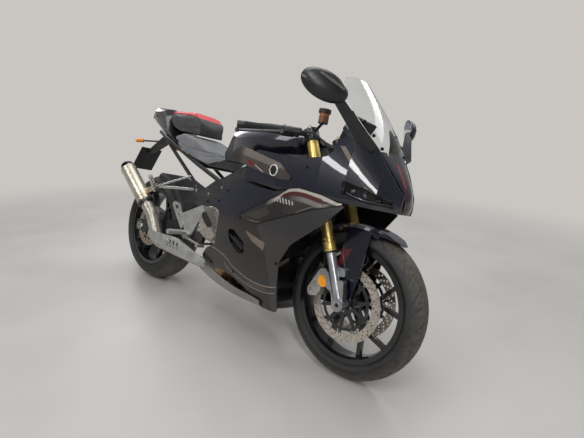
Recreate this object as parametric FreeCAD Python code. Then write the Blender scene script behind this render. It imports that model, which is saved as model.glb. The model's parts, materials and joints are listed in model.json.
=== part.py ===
import FreeCAD, Part

import math
import os

# A faired sport bike, parked on its side stand. Every piece is modelled with the machine upright:
# X runs forward from the rear axle, Y to the rider's left, Z up from the ground, in millimetres.
# At the end the whole machine leans over onto its stand and its footprint is centred.

V = FreeCAD.Vector

# Stance
WHEELBASE = 1420.0
LEAN_DEG = 13.0
RAKE_DEG = 24.5
FORK_OFFSET = 30.0

# Places along the body are written for this wheelbase. The stretch between these two stations takes up
# any other, and what lies ahead of it moves with the front wheel.
DRAWN_WHEELBASE = 1420.0
BODY_REAR_X = 640.0
BODY_FRONT_X = 1056.0

# Front wheel and tyre, 120/70-17
FRONT_TYRE_R = 300.0
FRONT_TYRE_W = 120.0
FRONT_RIM_W = 89.0
FRONT_CROWN_DROP = 50.0
FRONT_HUB_R = 31.0
FRONT_HUB_W = 96.0

# Rear wheel and tyre, 180/55-17
REAR_TYRE_R = 318.0
REAR_TYRE_W = 185.0
REAR_RIM_W = 140.0
REAR_CROWN_DROP = 66.0
REAR_HUB_R = 42.0
REAR_HUB_W = 150.0

# Rim section, the same on both wheels
BEAD_SEAT_R = 216.0
RIM_LIP_R = 233.0
RIM_LIP_T = 5.0
RIM_WALL = 9.0
SPOKES = 5
SPOKE_T = 22.0
TYRE_WALL = 9.0

# Brake discs
FRONT_DISC_R = 150.0
FRONT_DISC_BAND = 33.0
FRONT_DISC_T = 4.5
FRONT_DISC_Y = 64.0
REAR_DISC_R = 120.0
REAR_DISC_BAND = 34.0
REAR_DISC_T = 5.0
REAR_DISC_Y = 92.0
CARRIER_ARMS = 10
DISC_HOLE_R = 3.5
CALIPER_FACE_Y = 100.0
REFLECTOR_R = 24.0
HOSE_R = 4.0

# Upside-down fork, measured along its legs from the front axle
FORK_Y = 107.0
FORK_TUBE_R = 24.0
FORK_TUBE_LOW = 206.0
FORK_TUBE_TOP = 716.0
FORK_LEG_R = 20.5
FORK_LEG_INSERT = 60.0
FORK_FOOT_T = 36.0
YOKE_LOW = 466.0
YOKE_LOW_T = 34.0
YOKE_TOP = 664.0
YOKE_TOP_T = 18.0
STEM_R = 15.0
STEM_BORE_R = 9.0
AXLE_R = 12.5
AXLE_BORE_R = 9.0
RUNNING_GAP = 0.05

# Headstock and frame plates
HEAD_R = 32.0
HEAD_LOW = 508.0
HEAD_TOP = 656.0
HEAD_RACE_T = 14.0
FRAME_PLATE_Y = 140.0
FRAME_PLATE_T = 20.0
ENGINE_Y = 140.0
CLUTCH_R = 83.0

# Handlebars
BAR_R = 11.0
BAR_END = V(WHEELBASE - 474, -350, FRONT_TYRE_R + 611)
BAR_ROOT = V(WHEELBASE - 301, -126, FRONT_TYRE_R + 630)
BAR_WEIGHT_R = 15.0
BAR_WEIGHT_L = 28.0
GRIP_R = 16.5
GRIP_L = 150.0
CLAMP_LOW = 682.0
CLAMP_T = 32.0
CLAMP_R = 32.0

# Swingarm, chain and rear axle
PIVOT = V(585, 0, 415)
PIVOT_BOLT_R = 9.0
CHAIN_Y = 106.0
CHAIN_PITCH = 15.875
CHAIN_PLATE_H = 15.0
CHAIN_W = 17.0
REAR_TEETH = 43
DRIVE_TEETH = 16
DRIVE_SPROCKET = V(662, 0, 400)
SPROCKET_T = 7.0
REAR_AXLE_R = 14.0
REAR_AXLE_BORE_R = 10.0
REAR_AXLE_L = 330.0

# Side stand, deployed
STAND_PIVOT = V(612, 148, 268)
STAND_FOOT = V(676, 322, 0)
STAND_LEG_R = 11.0
STAND_FOOT_R = 24.0
STAND_FOOT_T = 6.0
STAND_EAR_T = 8.0
STAND_BLADE_T = 10.0
STAND_BOLT_R = 6.0

# Silencer
SILENCER_LOW = V(102, -200, 470)
SILENCER_TOP = V(-105, -222, 633)
SILENCER_R = 43.0
SILENCER_THROAT = 26.0
OUTLET_R = 23.0

# Panels
PANEL_T = 4.0
BLADE_PROUD = 3.0
TRIM_T = 3.0
TRIM_GAP = 0.3
AIR_OUTLET = [(876, 478, 14), (922, 480, 24), (998, 440, 24), (1002, 395, 14), (958, 388, 24), (896, 428, 24)]
SCREEN_T = 3.0
MUDGUARD_LOBE_Y = 79.0

lean = math.radians(LEAN_DEG)
rake = math.radians(RAKE_DEG)
front_axle = V(WHEELBASE, 0, FRONT_TYRE_R)
rear_axle = V(0, 0, REAR_TYRE_R)
steer_up = V(-math.sin(rake), 0, math.cos(rake))
steer_ahead = V(math.cos(rake), 0, math.sin(rake))
steer_foot = front_axle - steer_ahead * FORK_OFFSET
across = V(0, 1, 0)


# General shapes

def fore(x):
    """Where a station along the body comes to lie at the wheelbase in use."""
    share = (x - BODY_REAR_X) / (BODY_FRONT_X - BODY_REAR_X)
    return x + (WHEELBASE - DRAWN_WHEELBASE) * min(max(share, 0.0), 1.0)


def mirrored(shape):
    """The same piece on the other side of the machine."""
    return shape.mirror(V(0, 0, 0), V(0, 1, 0))


def pair(shape):
    """A piece and its mirror image as one node of two solids."""
    return Part.makeCompound([shape, mirrored(shape)])


def fused(*shapes):
    """One solid out of several that overlap."""
    whole = shapes[0]
    for shape in shapes[1:]:
        whole = whole.fuse(shape)
    return whole.removeSplitter()


def largest(shape, count=1):
    """The largest solids of a shape, without what a cut left on the far side of a thin panel."""
    ordered = sorted(shape.Solids, key=lambda solid: solid.Volume, reverse=True)
    return ordered[0] if count == 1 else Part.makeCompound(ordered[:count])


def rod(start, end, radius):
    """A round bar between two points."""
    run = end - start
    return Part.makeCylinder(radius, run.Length, start, run)


def hollow_rod(start, end, radius, bore):
    """A tube between two points."""
    return rod(start, end, radius).cut(rod(start, end, bore))


def corner_wire(corners, place):
    """A closed wire through corners (u, v, radius), each corner rounded by its radius."""
    count = len(corners)
    joints = []
    for i in range(count):
        before = corners[i - 1]
        here = corners[i]
        after = corners[(i + 1) % count]
        p = V(here[0], here[1], 0)
        a = V(before[0], before[1], 0) - p
        b = V(after[0], after[1], 0) - p
        radius = here[2] if len(here) > 2 else 0
        if radius == 0:
            joints.append((p, None, p))
            continue
        half = a.getAngle(b) / 2
        reach = radius / math.tan(half)
        a.normalize()
        b.normalize()
        start = p + a * reach
        end = p + b * reach
        middle = p + (a + b).normalize() * (radius / math.sin(half) - radius)
        joints.append((start, middle, end))
    edges = []
    for i in range(count):
        start, middle, end = joints[i]
        if middle is not None:
            edges.append(Part.Arc(place(start), place(middle), place(end)).toShape())
        following = joints[(i + 1) % count][0]
        if (following - end).Length > 1e-6:
            edges.append(Part.LineSegment(place(end), place(following)).toShape())
    return Part.Wire(edges)


def side_prism(corners, y_low, y_high):
    """A plate whose outline (x, z, radius) is seen from the side, between two values of y."""
    wire = corner_wire(corners, lambda p: V(p.x, y_low, p.y))
    return Part.Face(wire).extrude(V(0, y_high - y_low, 0))


def body_prism(corners, y_low, y_high):
    """The same plate for a piece that spreads with the wheelbase."""
    return side_prism([(fore(corner[0]), *corner[1:]) for corner in corners], y_low, y_high)


def plan_prism(corners, z_low, z_high):
    """A plate whose outline (x, y, radius) is seen from above, between two values of z."""
    wire = corner_wire(corners, lambda p: V(p.x, p.y, z_low))
    return Part.Face(wire).extrude(V(0, 0, z_high - z_low))


def turned(profile, centre):
    """A ring about a wheel's axis from a closed profile of (y, r, radius)."""
    wire = corner_wire(profile, lambda p: V(centre.x, p.x + centre.y, centre.z + p.y))
    return Part.Face(wire).revolve(centre, across, 360)


def ruled_beam(stations):
    """A box beam through upright rectangles (x, z low, z high, y inner, y outer)."""
    wires = []
    for station, z_low, z_high, y_in, y_out in stations:
        x = fore(station)
        wires.append(Part.makePolygon([V(x, y_in, z_low), V(x, y_out, z_low), V(x, y_out, z_high),
                                       V(x, y_in, z_high), V(x, y_in, z_low)]))
    return Part.makeLoft(wires, True, True)


def rounded_loft(stations, straight=True):
    """A closed form through upright sections (x, z low, z side, z top, half low, half high), crowned."""
    wires = []
    for station, low, side, top, half_low, half_high in stations:
        x = fore(station)
        wires.append(Part.Wire([
            Part.Arc(V(x, -half_high, side), V(x, 0, top), V(x, half_high, side)).toShape(),
            Part.LineSegment(V(x, half_high, side), V(x, half_low, low)).toShape(),
            Part.LineSegment(V(x, half_low, low), V(x, -half_low, low)).toShape(),
            Part.LineSegment(V(x, -half_low, low), V(x, -half_high, side)).toShape()]))
    return Part.makeLoft(wires, True, straight)


def curved_skin(stations, wall, straight=False):
    """A curved sheet on the left side: each station is x and three (y, z) points, top to bottom."""
    wires = []
    for station, top, middle, bottom in stations:
        x = fore(station)
        outer = [V(x, y, z) for y, z in (top, middle, bottom)]
        inner = [V(x, y - wall, z) for y, z in (top, middle, bottom)]
        wires.append(Part.Wire([Part.Arc(*outer).toShape(),
                                Part.LineSegment(outer[2], inner[2]).toShape(),
                                Part.Arc(inner[2], inner[1], inner[0]).toShape(),
                                Part.LineSegment(inner[0], outer[0]).toShape()]))
    return Part.makeLoft(wires, True, straight)


def crossing_skin(rows, wall):
    """A sheet bowed across the machine: each row is the (x, z, half width) of its edges and its (x, z)
    on the centre plane."""
    wires = []
    for (edge_station, z, half), (centre_station, centre_z) in rows:
        x = fore(edge_station)
        centre_x = fore(centre_station)
        drop = V(x - centre_x, 0, z - centre_z).normalize() * wall
        outer = [V(x, -half, z), V(centre_x, 0, centre_z), V(x, half, z)]
        inner = [p + drop for p in reversed(outer)]
        wires.append(Part.Wire([Part.Arc(*outer).toShape(),
                                Part.LineSegment(outer[2], inner[0]).toShape(),
                                Part.Arc(*inner).toShape(),
                                Part.LineSegment(inner[2], outer[0]).toShape()]))
    return Part.makeLoft(wires, True, False)


def bent_tube(points, radius, bend):
    """A round tube through points, straight between them, with arcs of one bend radius."""
    edges = []
    last = points[0]
    for i in range(1, len(points) - 1):
        here = points[i]
        a = (points[i - 1] - here).normalize()
        b = (points[i + 1] - here).normalize()
        half = a.getAngle(b) / 2
        reach = bend / math.tan(half)
        start = here + a * reach
        end = here + b * reach
        middle = here + (a + b).normalize() * (bend / math.sin(half) - bend)
        edges.append(Part.LineSegment(last, start).toShape())
        edges.append(Part.Arc(start, middle, end).toShape())
        last = end
    edges.append(Part.LineSegment(last, points[-1]).toShape())
    path = Part.Wire(edges)
    ring = Part.Wire([Part.makeCircle(radius, points[0], points[1] - points[0])])
    return path.makePipeShell([ring], True, False)


def on_fork(shape):
    """Moves a piece drawn in the steering head's own frame, Z up the steering axis, into place."""
    placed = shape.copy()
    placed.Placement = FreeCAD.Placement(steer_foot, FreeCAD.Rotation(V(0, 1, 0), -RAKE_DEG))
    return placed


def fork_point(along, y):
    """A point on a fork leg's centre line, given its distance up from the axle."""
    return front_axle + steer_up * along + across * y


# Wheels

def tyre(centre, radius, width, rim_width, crown_drop):
    """A hollow tyre in straight bands; one edge of its crown lies where the parked machine stands."""
    bead = rim_width / 2
    half = width / 2
    round_r = crown_radius(width, crown_drop)
    middle_r = radius - round_r
    edge = math.asin(half / round_r)
    hollow_r = round_r - TYRE_WALL
    crown = [lean + (edge - lean) * part for part in (0, 0.25, 0.5, 0.75, 1)]
    side = [(round_r * math.sin(a), middle_r + round_r * math.cos(a)) for a in crown]
    side += [(bead + 0.55 * (half - bead), RIM_LIP_R + 7), (bead, RIM_LIP_R + 1), (bead, BEAD_SEAT_R),
             (bead - TYRE_WALL, BEAD_SEAT_R), (bead - TYRE_WALL, RIM_LIP_R + 4)]
    side += [(hollow_r * math.sin(a), middle_r + hollow_r * math.cos(a))
             for a in (edge, edge * 0.62, edge * 0.25)]
    return turned(side + [(-y, r) for y, r in reversed(side)], centre)


def rim(centre, rim_width, hub_r, hub_w, bore_r, spoke_t, forks):
    """A cast wheel: barrel with lips, hub with its bearing bore, and forked spokes."""
    half = rim_width / 2
    lip = half + RIM_LIP_T
    inner = BEAD_SEAT_R - RIM_WALL
    barrel = turned([(-lip, inner + 6), (-lip, RIM_LIP_R), (-half, RIM_LIP_R), (-half, BEAD_SEAT_R),
                     (half, BEAD_SEAT_R), (half, RIM_LIP_R), (lip, RIM_LIP_R), (lip, inner + 6),
                     (half - 14, inner), (14 - half, inner)], centre)
    hub = Part.makeCylinder(hub_r, hub_w, centre - across * (hub_w / 2), across)
    wheel = barrel.fuse(hub)
    split_r = hub_r + (inner - hub_r) * 0.45
    for i in range(SPOKES):
        turn = 360.0 / SPOKES * i + forks
        stem = spoke(centre, hub_r * 0.6, split_r + 6, 0, 15, 13, spoke_t, turn)
        wheel = wheel.fuse(stem)
        for side in (-1, 1):
            branch = spoke(centre, split_r - 6, inner + 4, side * 17, 9, 8, spoke_t, turn)
            wheel = wheel.fuse(branch)
    wheel = wheel.removeSplitter()
    bore = Part.makeCylinder(bore_r + RUNNING_GAP, hub_w + 2, centre - across * (hub_w / 2 + 1), across)
    return wheel.cut(bore)


def spoke(centre, r_start, r_end, swing_deg, half_start, half_end, thick, turn_deg):
    """One straight spoke arm from radius to radius, its outer end swung round by an angle."""
    swing = math.radians(swing_deg)
    start = V(0, 0, r_start)
    end = V(r_end * math.sin(swing), 0, r_end * math.cos(swing))
    along = (end - start).normalize()
    side = V(along.z, 0, -along.x)
    corners = [start - side * half_start, start + side * half_start,
               end + side * half_end, end - side * half_end]
    wire = Part.makePolygon([c - across * (thick / 2) for c in corners + corners[:1]])
    arm = Part.Face(wire).extrude(across * thick)
    arm.rotate(V(0, 0, 0), across, turn_deg)
    arm.translate(centre)
    return arm


def disc_band(centre, y, radius, band, thick):
    """A flat brake disc ring standing at y."""
    outer = Part.makeCylinder(radius, thick, centre + across * (y - thick / 2), across)
    inner = Part.makeCylinder(radius - band, thick + 2, centre + across * (y - thick / 2 - 1), across)
    return outer.cut(inner)


def drilled_ring(centre, y, radius, band, thick, around):
    """A brake disc ring with three staggered rows of cooling holes, each drawn with eight sides."""
    corners = [V(DISC_HOLE_R * math.sin(math.pi * i / 4), 0, DISC_HOLE_R * math.cos(math.pi * i / 4))
               for i in range(8)]
    drill = Part.Face(Part.makePolygon(corners + corners[:1])).extrude(across * (2 * thick))
    holes = []
    for row in (-1, 0, 1):
        at_r = radius - band / 2 + row * band * 0.28
        for i in range(around):
            angle = 2 * math.pi * (i + row / 3) / around
            hole = drill.copy()
            hole.translate(centre + V(at_r * math.sin(angle), y - thick, at_r * math.cos(angle)))
            holes.append(hole)
    return disc_band(centre, y, radius, band, thick).cut(Part.makeCompound(holes))


def disc_carrier(centre, y, hub_end_y, radius, bolt_r, bore_r):
    """The dark inner star of a disc: a hub flange with arms out to the disc's inner edge."""
    thick = 5.0
    flange = Part.makeCylinder(bolt_r, abs(y - hub_end_y) + thick / 2,
                               centre + across * hub_end_y, across * (1 if y > hub_end_y else -1))
    star = flange
    for i in range(CARRIER_ARMS):
        arm = spoke(centre, bolt_r * 0.7, radius, 0, 9, 6, thick, 360.0 / CARRIER_ARMS * i)
        arm.translate(across * y)
        star = star.fuse(arm)
    ring = Part.makeCylinder(radius - 14, thick, centre + across * (y - thick / 2), across)
    gap = Part.makeCylinder(radius - 24, thick + 2, centre + across * (y - thick / 2 - 1), across)
    star = star.fuse(ring.cut(gap)).removeSplitter()
    reach = abs(y - hub_end_y) + 20
    bore = Part.makeCylinder(bore_r, 2 * reach, centre + across * (y - reach), across)
    within = Part.makeCylinder(radius, 2 * reach, centre + across * (y - reach), across)
    return star.cut(bore).common(within)


# Fork, yokes and bars

def fork_tubes():
    """The outer tubes, gold, open below where the inner legs slide in."""
    solids = []
    for y in (-FORK_Y, FORK_Y):
        tube = rod(fork_point(FORK_TUBE_LOW, y), fork_point(FORK_TUBE_TOP, y), FORK_TUBE_R)
        collar = rod(fork_point(FORK_TUBE_LOW, y), fork_point(FORK_TUBE_LOW + 42, y), FORK_TUBE_R + 2)
        cap = rod(fork_point(FORK_TUBE_TOP, y), fork_point(FORK_TUBE_TOP + 8, y), FORK_TUBE_R - 9)
        bore = rod(fork_point(FORK_TUBE_LOW - 1, y),
                   fork_point(FORK_TUBE_LOW + FORK_LEG_INSERT + 2, y), FORK_LEG_R)
        solids.append(fused(tube, collar, cap).cut(bore))
    return Part.makeCompound(solids)


def fork_legs():
    """The inner legs with the feet that clamp the axle, and their lugs for caliper and mudguard."""
    leg = rod(fork_point(18, FORK_Y), fork_point(FORK_TUBE_LOW + FORK_LEG_INSERT, FORK_Y), FORK_LEG_R)
    y_low = FORK_Y - FORK_FOOT_T / 2
    foot = Part.makeCylinder(25, FORK_FOOT_T, front_axle + across * y_low, across)
    ax, az = front_axle.x, front_axle.z
    web = side_prism([(ax - 25, az - 8, 6), (ax + 24, az - 8, 6), (ax + 6, az + 96, 10),
                      (ax - 62, az + 82, 8), (ax - 70, az + 50, 8), (ax - 40, az + 40, 6)],
                     FORK_Y - 13, FORK_Y + 13)
    lug = side_prism([(ax - 60, az + 46, 6), (ax - 30, az + 84, 6), (ax - 88, az + 122, 8),
                      (ax - 104, az + 106, 8)], FORK_Y - 13, FORK_Y + 13)
    tab = side_prism([(ax - 66, az + 100, 4), (ax - 2, az + 104, 10), (ax - 10, az + 136, 10),
                      (ax - 72, az + 136, 4)], MUDGUARD_LOBE_Y, FORK_Y - 9)
    foot = fused(leg, foot, web, lug, tab)
    bore = Part.makeCylinder(AXLE_R, 80, front_axle + across * (FORK_Y - 40), across)
    seat = Part.makeCylinder(REFLECTOR_R + 2, 60, reflector_centre(), across)
    return pair(foot.cut(bore).cut(seat))


def yoke_plate(low, thick, ring_r):
    """One yoke: a waisted plate that joins a boss round each fork tube to the boss at the stem."""
    corners = [(-26, -46, 18), (-14, -FORK_Y - 8, 8), (26, -FORK_Y - 20, 12), (54, -FORK_Y + 6, 12),
               (30, -40, 20), (30, 40, 20), (54, FORK_Y - 6, 12), (26, FORK_Y + 20, 12),
               (-14, FORK_Y + 8, 8), (-26, 46, 18)]
    wire = corner_wire(corners, lambda p: V(p.x, p.y, low))
    plate = Part.Face(wire).extrude(V(0, 0, thick))
    boss = Part.makeCylinder(34, thick, V(0, 0, low))
    rings = [Part.makeCylinder(ring_r, thick, V(FORK_OFFSET, y, low)) for y in (-FORK_Y, FORK_Y)]
    return fused(plate, boss, *rings)


def yokes():
    """Both yokes and the hollow stem that turns in the headstock."""
    stem_low = YOKE_LOW - 12
    stem_high = YOKE_TOP + YOKE_TOP_T + 14
    stem = Part.makeCylinder(STEM_R, stem_high - stem_low, V(0, 0, stem_low))
    nut = Part.makeCylinder(STEM_R + 7, 14, V(0, 0, YOKE_TOP + YOKE_TOP_T))
    whole = fused(yoke_plate(YOKE_LOW, YOKE_LOW_T, FORK_TUBE_R + 9),
                  yoke_plate(YOKE_TOP, YOKE_TOP_T, FORK_TUBE_R + 9), stem, nut)
    whole = whole.cut(Part.makeCylinder(STEM_BORE_R, stem_high - stem_low + 2, V(0, 0, stem_low - 1)))
    for y in (-FORK_Y, FORK_Y):
        hole = Part.makeCylinder(FORK_TUBE_R, FORK_TUBE_TOP, V(FORK_OFFSET, y, YOKE_LOW - 20))
        whole = whole.cut(hole)
    return on_fork(whole)


def bar_point(distance):
    """A point on the right bar's centre line, from its outer end inwards."""
    return BAR_END + (BAR_ROOT - BAR_END).normalize() * distance


def clip_ons():
    """Each bar is a tube welded to a clamp round its fork tube, with a weight at its end."""
    clamp = Part.makeCylinder(CLAMP_R, CLAMP_T, V(FORK_OFFSET, -FORK_Y, CLAMP_LOW))
    clamp = on_fork(clamp)
    bar = rod(bar_point(BAR_WEIGHT_L), BAR_ROOT, BAR_R)
    weight = rod(bar_point(0), bar_point(BAR_WEIGHT_L), BAR_WEIGHT_R)
    hole = on_fork(Part.makeCylinder(FORK_TUBE_R, CLAMP_T + 60, V(FORK_OFFSET, -FORK_Y, CLAMP_LOW - 30)))
    return pair(fused(clamp, bar, weight).cut(hole))


def grips():
    """Rubber grips slipped over the bar ends."""
    start = bar_point(BAR_WEIGHT_L)
    end = bar_point(BAR_WEIGHT_L + GRIP_L)
    grip = hollow_rod(start, end, GRIP_R, BAR_R)
    flange_end = bar_point(BAR_WEIGHT_L + GRIP_L + 8)
    return pair(fused(grip, hollow_rod(end, flange_end, GRIP_R + 5, BAR_R)))


def switch_housings():
    """Switch and throttle housings clamped on the bars beside the grips."""
    start = bar_point(BAR_WEIGHT_L + GRIP_L + 8)
    end = bar_point(BAR_WEIGHT_L + GRIP_L + 52)
    drum = hollow_rod(start, end, 21, BAR_R)
    return pair(drum)


def levers():
    """Master cylinder bodies clamped inboard of the housings, with their blade levers."""
    ahead = V(0.75, -0.60, -0.05).normalize() * 44
    inboard = BAR_WEIGHT_L + GRIP_L + 52
    root = bar_point(inboard - 18) + ahead
    tip = bar_point(-4) + ahead + V(10, 0, -26)
    knee = bar_point(BAR_WEIGHT_L + GRIP_L - 10) + ahead + V(14, 0, -8)
    blade = fused(rod(root, knee, 8), rod(knee + V(0, 0, 8), knee - V(0, 0, 8), 9), rod(knee, tip, 6),
                  rod(tip + V(0, 0, 7), tip - V(0, 0, 7), 8))
    cylinder = rod(root + V(-14, -16, 4), root + V(24, 34, 8), 13)
    clamp = hollow_rod(bar_point(inboard), bar_point(inboard + 22), 18, BAR_R)
    neck = rod(bar_point(inboard + 11) + ahead * 0.35, root + V(20, 28, 8), 8)
    bar = rod(bar_point(inboard - 40), bar_point(inboard + 60), BAR_R)
    return pair(fused(blade, cylinder, clamp, neck).cut(bar))


def reservoirs():
    """The round fluid cup of the front brake, on a stalk from the right clamp."""
    foot = BAR_ROOT + V(86, -14, 42)
    cup = Part.makeCylinder(20, 40, foot, V(0, 0, 1))
    cap = Part.makeCylinder(24, 16, foot + V(0, 0, 40), V(0, 0, 1))
    stalk = rod(BAR_ROOT + V(37, 8, 15), foot + V(0, 0, 4), 6)
    return fused(cup, cap, stalk)


def front_mudguard():
    """A close mudguard: an arched sheet, pointed in front, with a lobe down to each fork leg."""
    inner_r = FRONT_TYRE_R + 11
    half = FRONT_TYRE_W / 2 + 12
    skirt = inner_r - 24
    outer = [(-half, skirt), (-half, inner_r - 12), (8 - half, inner_r - 2), (26 - half, inner_r + PANEL_T),
             (half - 26, inner_r + PANEL_T), (half - 8, inner_r - 2), (half, inner_r - 12), (half, skirt)]
    inner = [(half - PANEL_T, skirt), (half - PANEL_T, inner_r - 14), (half - 11, inner_r - 6),
             (half - 28, inner_r), (28 - half, inner_r), (11 - half, inner_r - 6),
             (PANEL_T - half, inner_r - 14), (PANEL_T - half, skirt)]
    ring = turned(outer + inner, front_axle)
    ax, az = front_axle.x, front_axle.z
    high = az + inner_r
    window = side_prism([(ax, az), (ax + 168, az + 266), (ax + 168, high + 89), (ax - 260, high + 89),
                         (ax - 300, az + 190)], -half - 2, half + 2)
    point = plan_prism([(ax - 300, -half - 4), (ax + 60, -half - 4), (ax + 128, 16 - half, 30),
                        (ax + 172, -10, 10), (ax + 172, 10, 10), (ax + 128, half - 16, 30),
                        (ax + 60, half + 4), (ax - 300, half + 4)], az, high + 20)
    arch = ring.common(window).common(point)
    lobe_corners = [(ax - 44, high - 49, 20), (ax - 60, az + 150, 14), (ax - 24, az + 60, 10),
                    (ax + 2, az + 22, 8), (ax + 28, az + 30, 8), (ax + 40, az + 107, 60),
                    (ax + 54, high - 75, 20), (ax + 60, high - 21, 10), (ax - 20, high - 11, 10)]
    lobe = side_prism(lobe_corners, MUDGUARD_LOBE_Y - PANEL_T, MUDGUARD_LOBE_Y)
    top = side_prism([(ax - 40, high - 71, 8), (ax + 52, high - 71, 8), (ax + 60, high - 21, 10),
                      (ax - 20, high - 11, 10)], half - PANEL_T, MUDGUARD_LOBE_Y)
    tyre_half = half - PANEL_T
    tyre_room = Part.makeCylinder(inner_r, 2 * tyre_half, front_axle - across * tyre_half, across)
    lobe = fused(lobe, top.cut(tyre_room))
    return fused(arch, lobe, mirrored(lobe))


def front_axle_tube():
    """The hollow front axle, clamped in both fork feet, with its two spacers."""
    axle = hollow_rod(front_axle - across * 128, front_axle + across * 128, AXLE_R, AXLE_BORE_R)
    foot_y = FORK_Y - FORK_FOOT_T / 2
    spacers = [hollow_rod(front_axle + across * (s * 72), front_axle + across * (s * foot_y),
                          AXLE_R + 5, AXLE_BORE_R) for s in (-1, 1)]
    return fused(axle, *spacers)


def front_calipers():
    """Radial calipers behind the legs, each a block with a slot that the disc runs in."""
    ax, az = front_axle.x, front_axle.z
    block = side_prism([(ax - 118, az + 116, 14), (ax - 82, az + 96, 6), (ax - 112, az + 2, 8),
                        (ax - 160, az - 14, 16), (ax - 166, az + 20, 16)],
                       FRONT_DISC_Y - 32, CALIPER_FACE_Y)
    slot = disc_band(front_axle, FRONT_DISC_Y, FRONT_DISC_R + 6, 60, 12)
    return pair(block.cut(slot))


def reflectors():
    """Round side reflectors on the calipers."""
    return pair(Part.makeCylinder(REFLECTOR_R, 7, reflector_centre(), across))


def reflector_centre():
    """Where the left reflector's back meets its caliper."""
    return V(front_axle.x - 94, CALIPER_FACE_Y, front_axle.z + 66)


def brake_hoses():
    """A hose up the inside of each fork leg from its caliper to the lower yoke, and one that loops from
    each master cylinder down to the same yoke."""
    leg_run = on_fork(bent_tube([V(-30, 84, 140), V(-8, 92, 200), V(-4, 90, 330), V(20, 70, 400),
                                 V(24, 66, YOKE_LOW + 4)], HOSE_R, 30))
    root = V(BAR_ROOT.x, -BAR_ROOT.y, BAR_ROOT.z)
    bar_run = bent_tube([root + V(7, 56, 0), root + V(57, 24, 2), root + V(109, 2, -30),
                         root + V(127, -22, -72), root + V(121, -46, -130), root + V(105, -56, -178)],
                        HOSE_R, 30)
    return Part.makeCompound([leg_run, mirrored(leg_run), bar_run, mirrored(bar_run)])


# Frame and swingarm

def main_frame():
    """Twin spars from the headstock to plates at the swingarm pivot, and the side stand's clevis."""
    head = Part.makeCylinder(HEAD_R, HEAD_TOP - HEAD_LOW, V(0, 0, HEAD_LOW))
    head = on_fork(head)
    spar = ruled_beam([(1128, 770, 868, 6, 36), (1066, 740, 850, 26, 62), (985, 700, 832, 118, 146),
                       (830, 606, 752, 150, 178), (700, 575, 690, 140, 166)])
    outer_y = FRAME_PLATE_Y + FRAME_PLATE_T
    plate = side_prism([(740, 600, 20), (706, 690, 20), (640, 672, 30), (560, 618, 30), (474, 620, 14),
                        (454, 590, 12), (530, 560, 30), (536, 470, 30), (544, 356, 20), (606, 340, 20),
                        (622, 440, 30), (640, 562, 30)], FRAME_PLATE_Y, outer_y)
    pivot_boss = rod(V(PIVOT.x, FRAME_PLATE_Y, PIVOT.z), V(PIVOT.x, outer_y + 6, PIVOT.z), 26)
    rest_boss = rod(V(474, FRAME_PLATE_Y, 600), V(474, outer_y + 4, 600), 13)
    cowl_boss = rod(V(fore(886), 168, 752), V(fore(886), 192, 752), 12)
    side = fused(spar, plate, pivot_boss, rest_boss, cowl_boss)
    cross = Part.makeBox(44, 2 * FRAME_PLATE_Y, 44, V(636, -FRAME_PLATE_Y, 520))
    bolt = rod(V(PIVOT.x, -outer_y, PIVOT.z), V(PIVOT.x, outer_y, PIVOT.z), PIVOT_BOLT_R)
    hollow = on_fork(Part.makeCylinder(STEM_R + 4, HEAD_TOP - HEAD_LOW - 2 * HEAD_RACE_T,
                                       V(0, 0, HEAD_LOW + HEAD_RACE_T)))
    through = on_fork(Part.makeCylinder(STEM_R + RUNNING_GAP, HEAD_TOP, V(0, 0, HEAD_LOW - 100)))
    above = on_fork(Part.makeBox(400, 400, 200, V(-200, -200, HEAD_TOP)))
    whole = fused(head, side, mirrored(side), cross, bolt, stand_clevis())
    return whole.cut(hollow).cut(through).cut(above)


def swingarm():
    """A fabricated swingarm: two arms from the pivot tube to the axle plates, and a cross brace."""
    axle_z = rear_axle.z
    arm = ruled_beam([(-46, axle_z - 30, axle_z + 30, 124, 152), (60, axle_z - 32, axle_z + 48, 122, 152),
                      (250, 312, 396, 103, 138), (380, 342, 416, 68, 94),
                      (PIVOT.x - 20, PIVOT.z - 30, PIVOT.z + 30, 60, 92)])
    tube = Part.makeCylinder(30, 2 * 92, V(PIVOT.x, -92, PIVOT.z), across)
    brace = Part.makeBox(70, 2 * 80, 54, V(430, -80, 358))
    whole = fused(arm, mirrored(arm), tube, brace)
    axle_hole = Part.makeCylinder(REAR_AXLE_R, REAR_AXLE_L, rear_axle - across * (REAR_AXLE_L / 2), across)
    pivot_hole = Part.makeCylinder(PIVOT_BOLT_R, 2 * 110, V(PIVOT.x, -110, PIVOT.z), across)
    return whole.cut(axle_hole).cut(pivot_hole)


def rear_axle_tube():
    """The hollow rear axle, with a spacer beside the sprocket."""
    half = REAR_AXLE_L / 2
    axle = hollow_rod(rear_axle - across * half, rear_axle + across * half, REAR_AXLE_R, REAR_AXLE_BORE_R)
    spacer = hollow_rod(rear_axle + across * 115, rear_axle + across * 122, REAR_AXLE_R + 7,
                        REAR_AXLE_BORE_R)
    return fused(axle, spacer)


def rear_caliper():
    """The rear caliper on its bracket, which hangs from the axle inside the right arm."""
    axle_z = rear_axle.z
    block = side_prism([(36, axle_z + 74, 10), (112, axle_z + 62, 10), (124, axle_z + 110, 12),
                        (44, axle_z + 128, 12)], -REAR_DISC_Y - 26, -REAR_DISC_Y + 16)
    bracket = side_prism([(-24, axle_z - 18, 20), (24, axle_z - 26, 20), (104, axle_z + 70, 8),
                          (50, axle_z + 86, 8), (-22, axle_z + 22, 20)],
                         -REAR_DISC_Y - 26, -REAR_DISC_Y - 18)
    slot = disc_band(rear_axle, -REAR_DISC_Y, REAR_DISC_R + 5, 60, 11)
    axle = Part.makeCylinder(REAR_AXLE_R, REAR_AXLE_L, rear_axle - across * (REAR_AXLE_L / 2), across)
    return fused(block, bracket).cut(slot).cut(axle)


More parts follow.
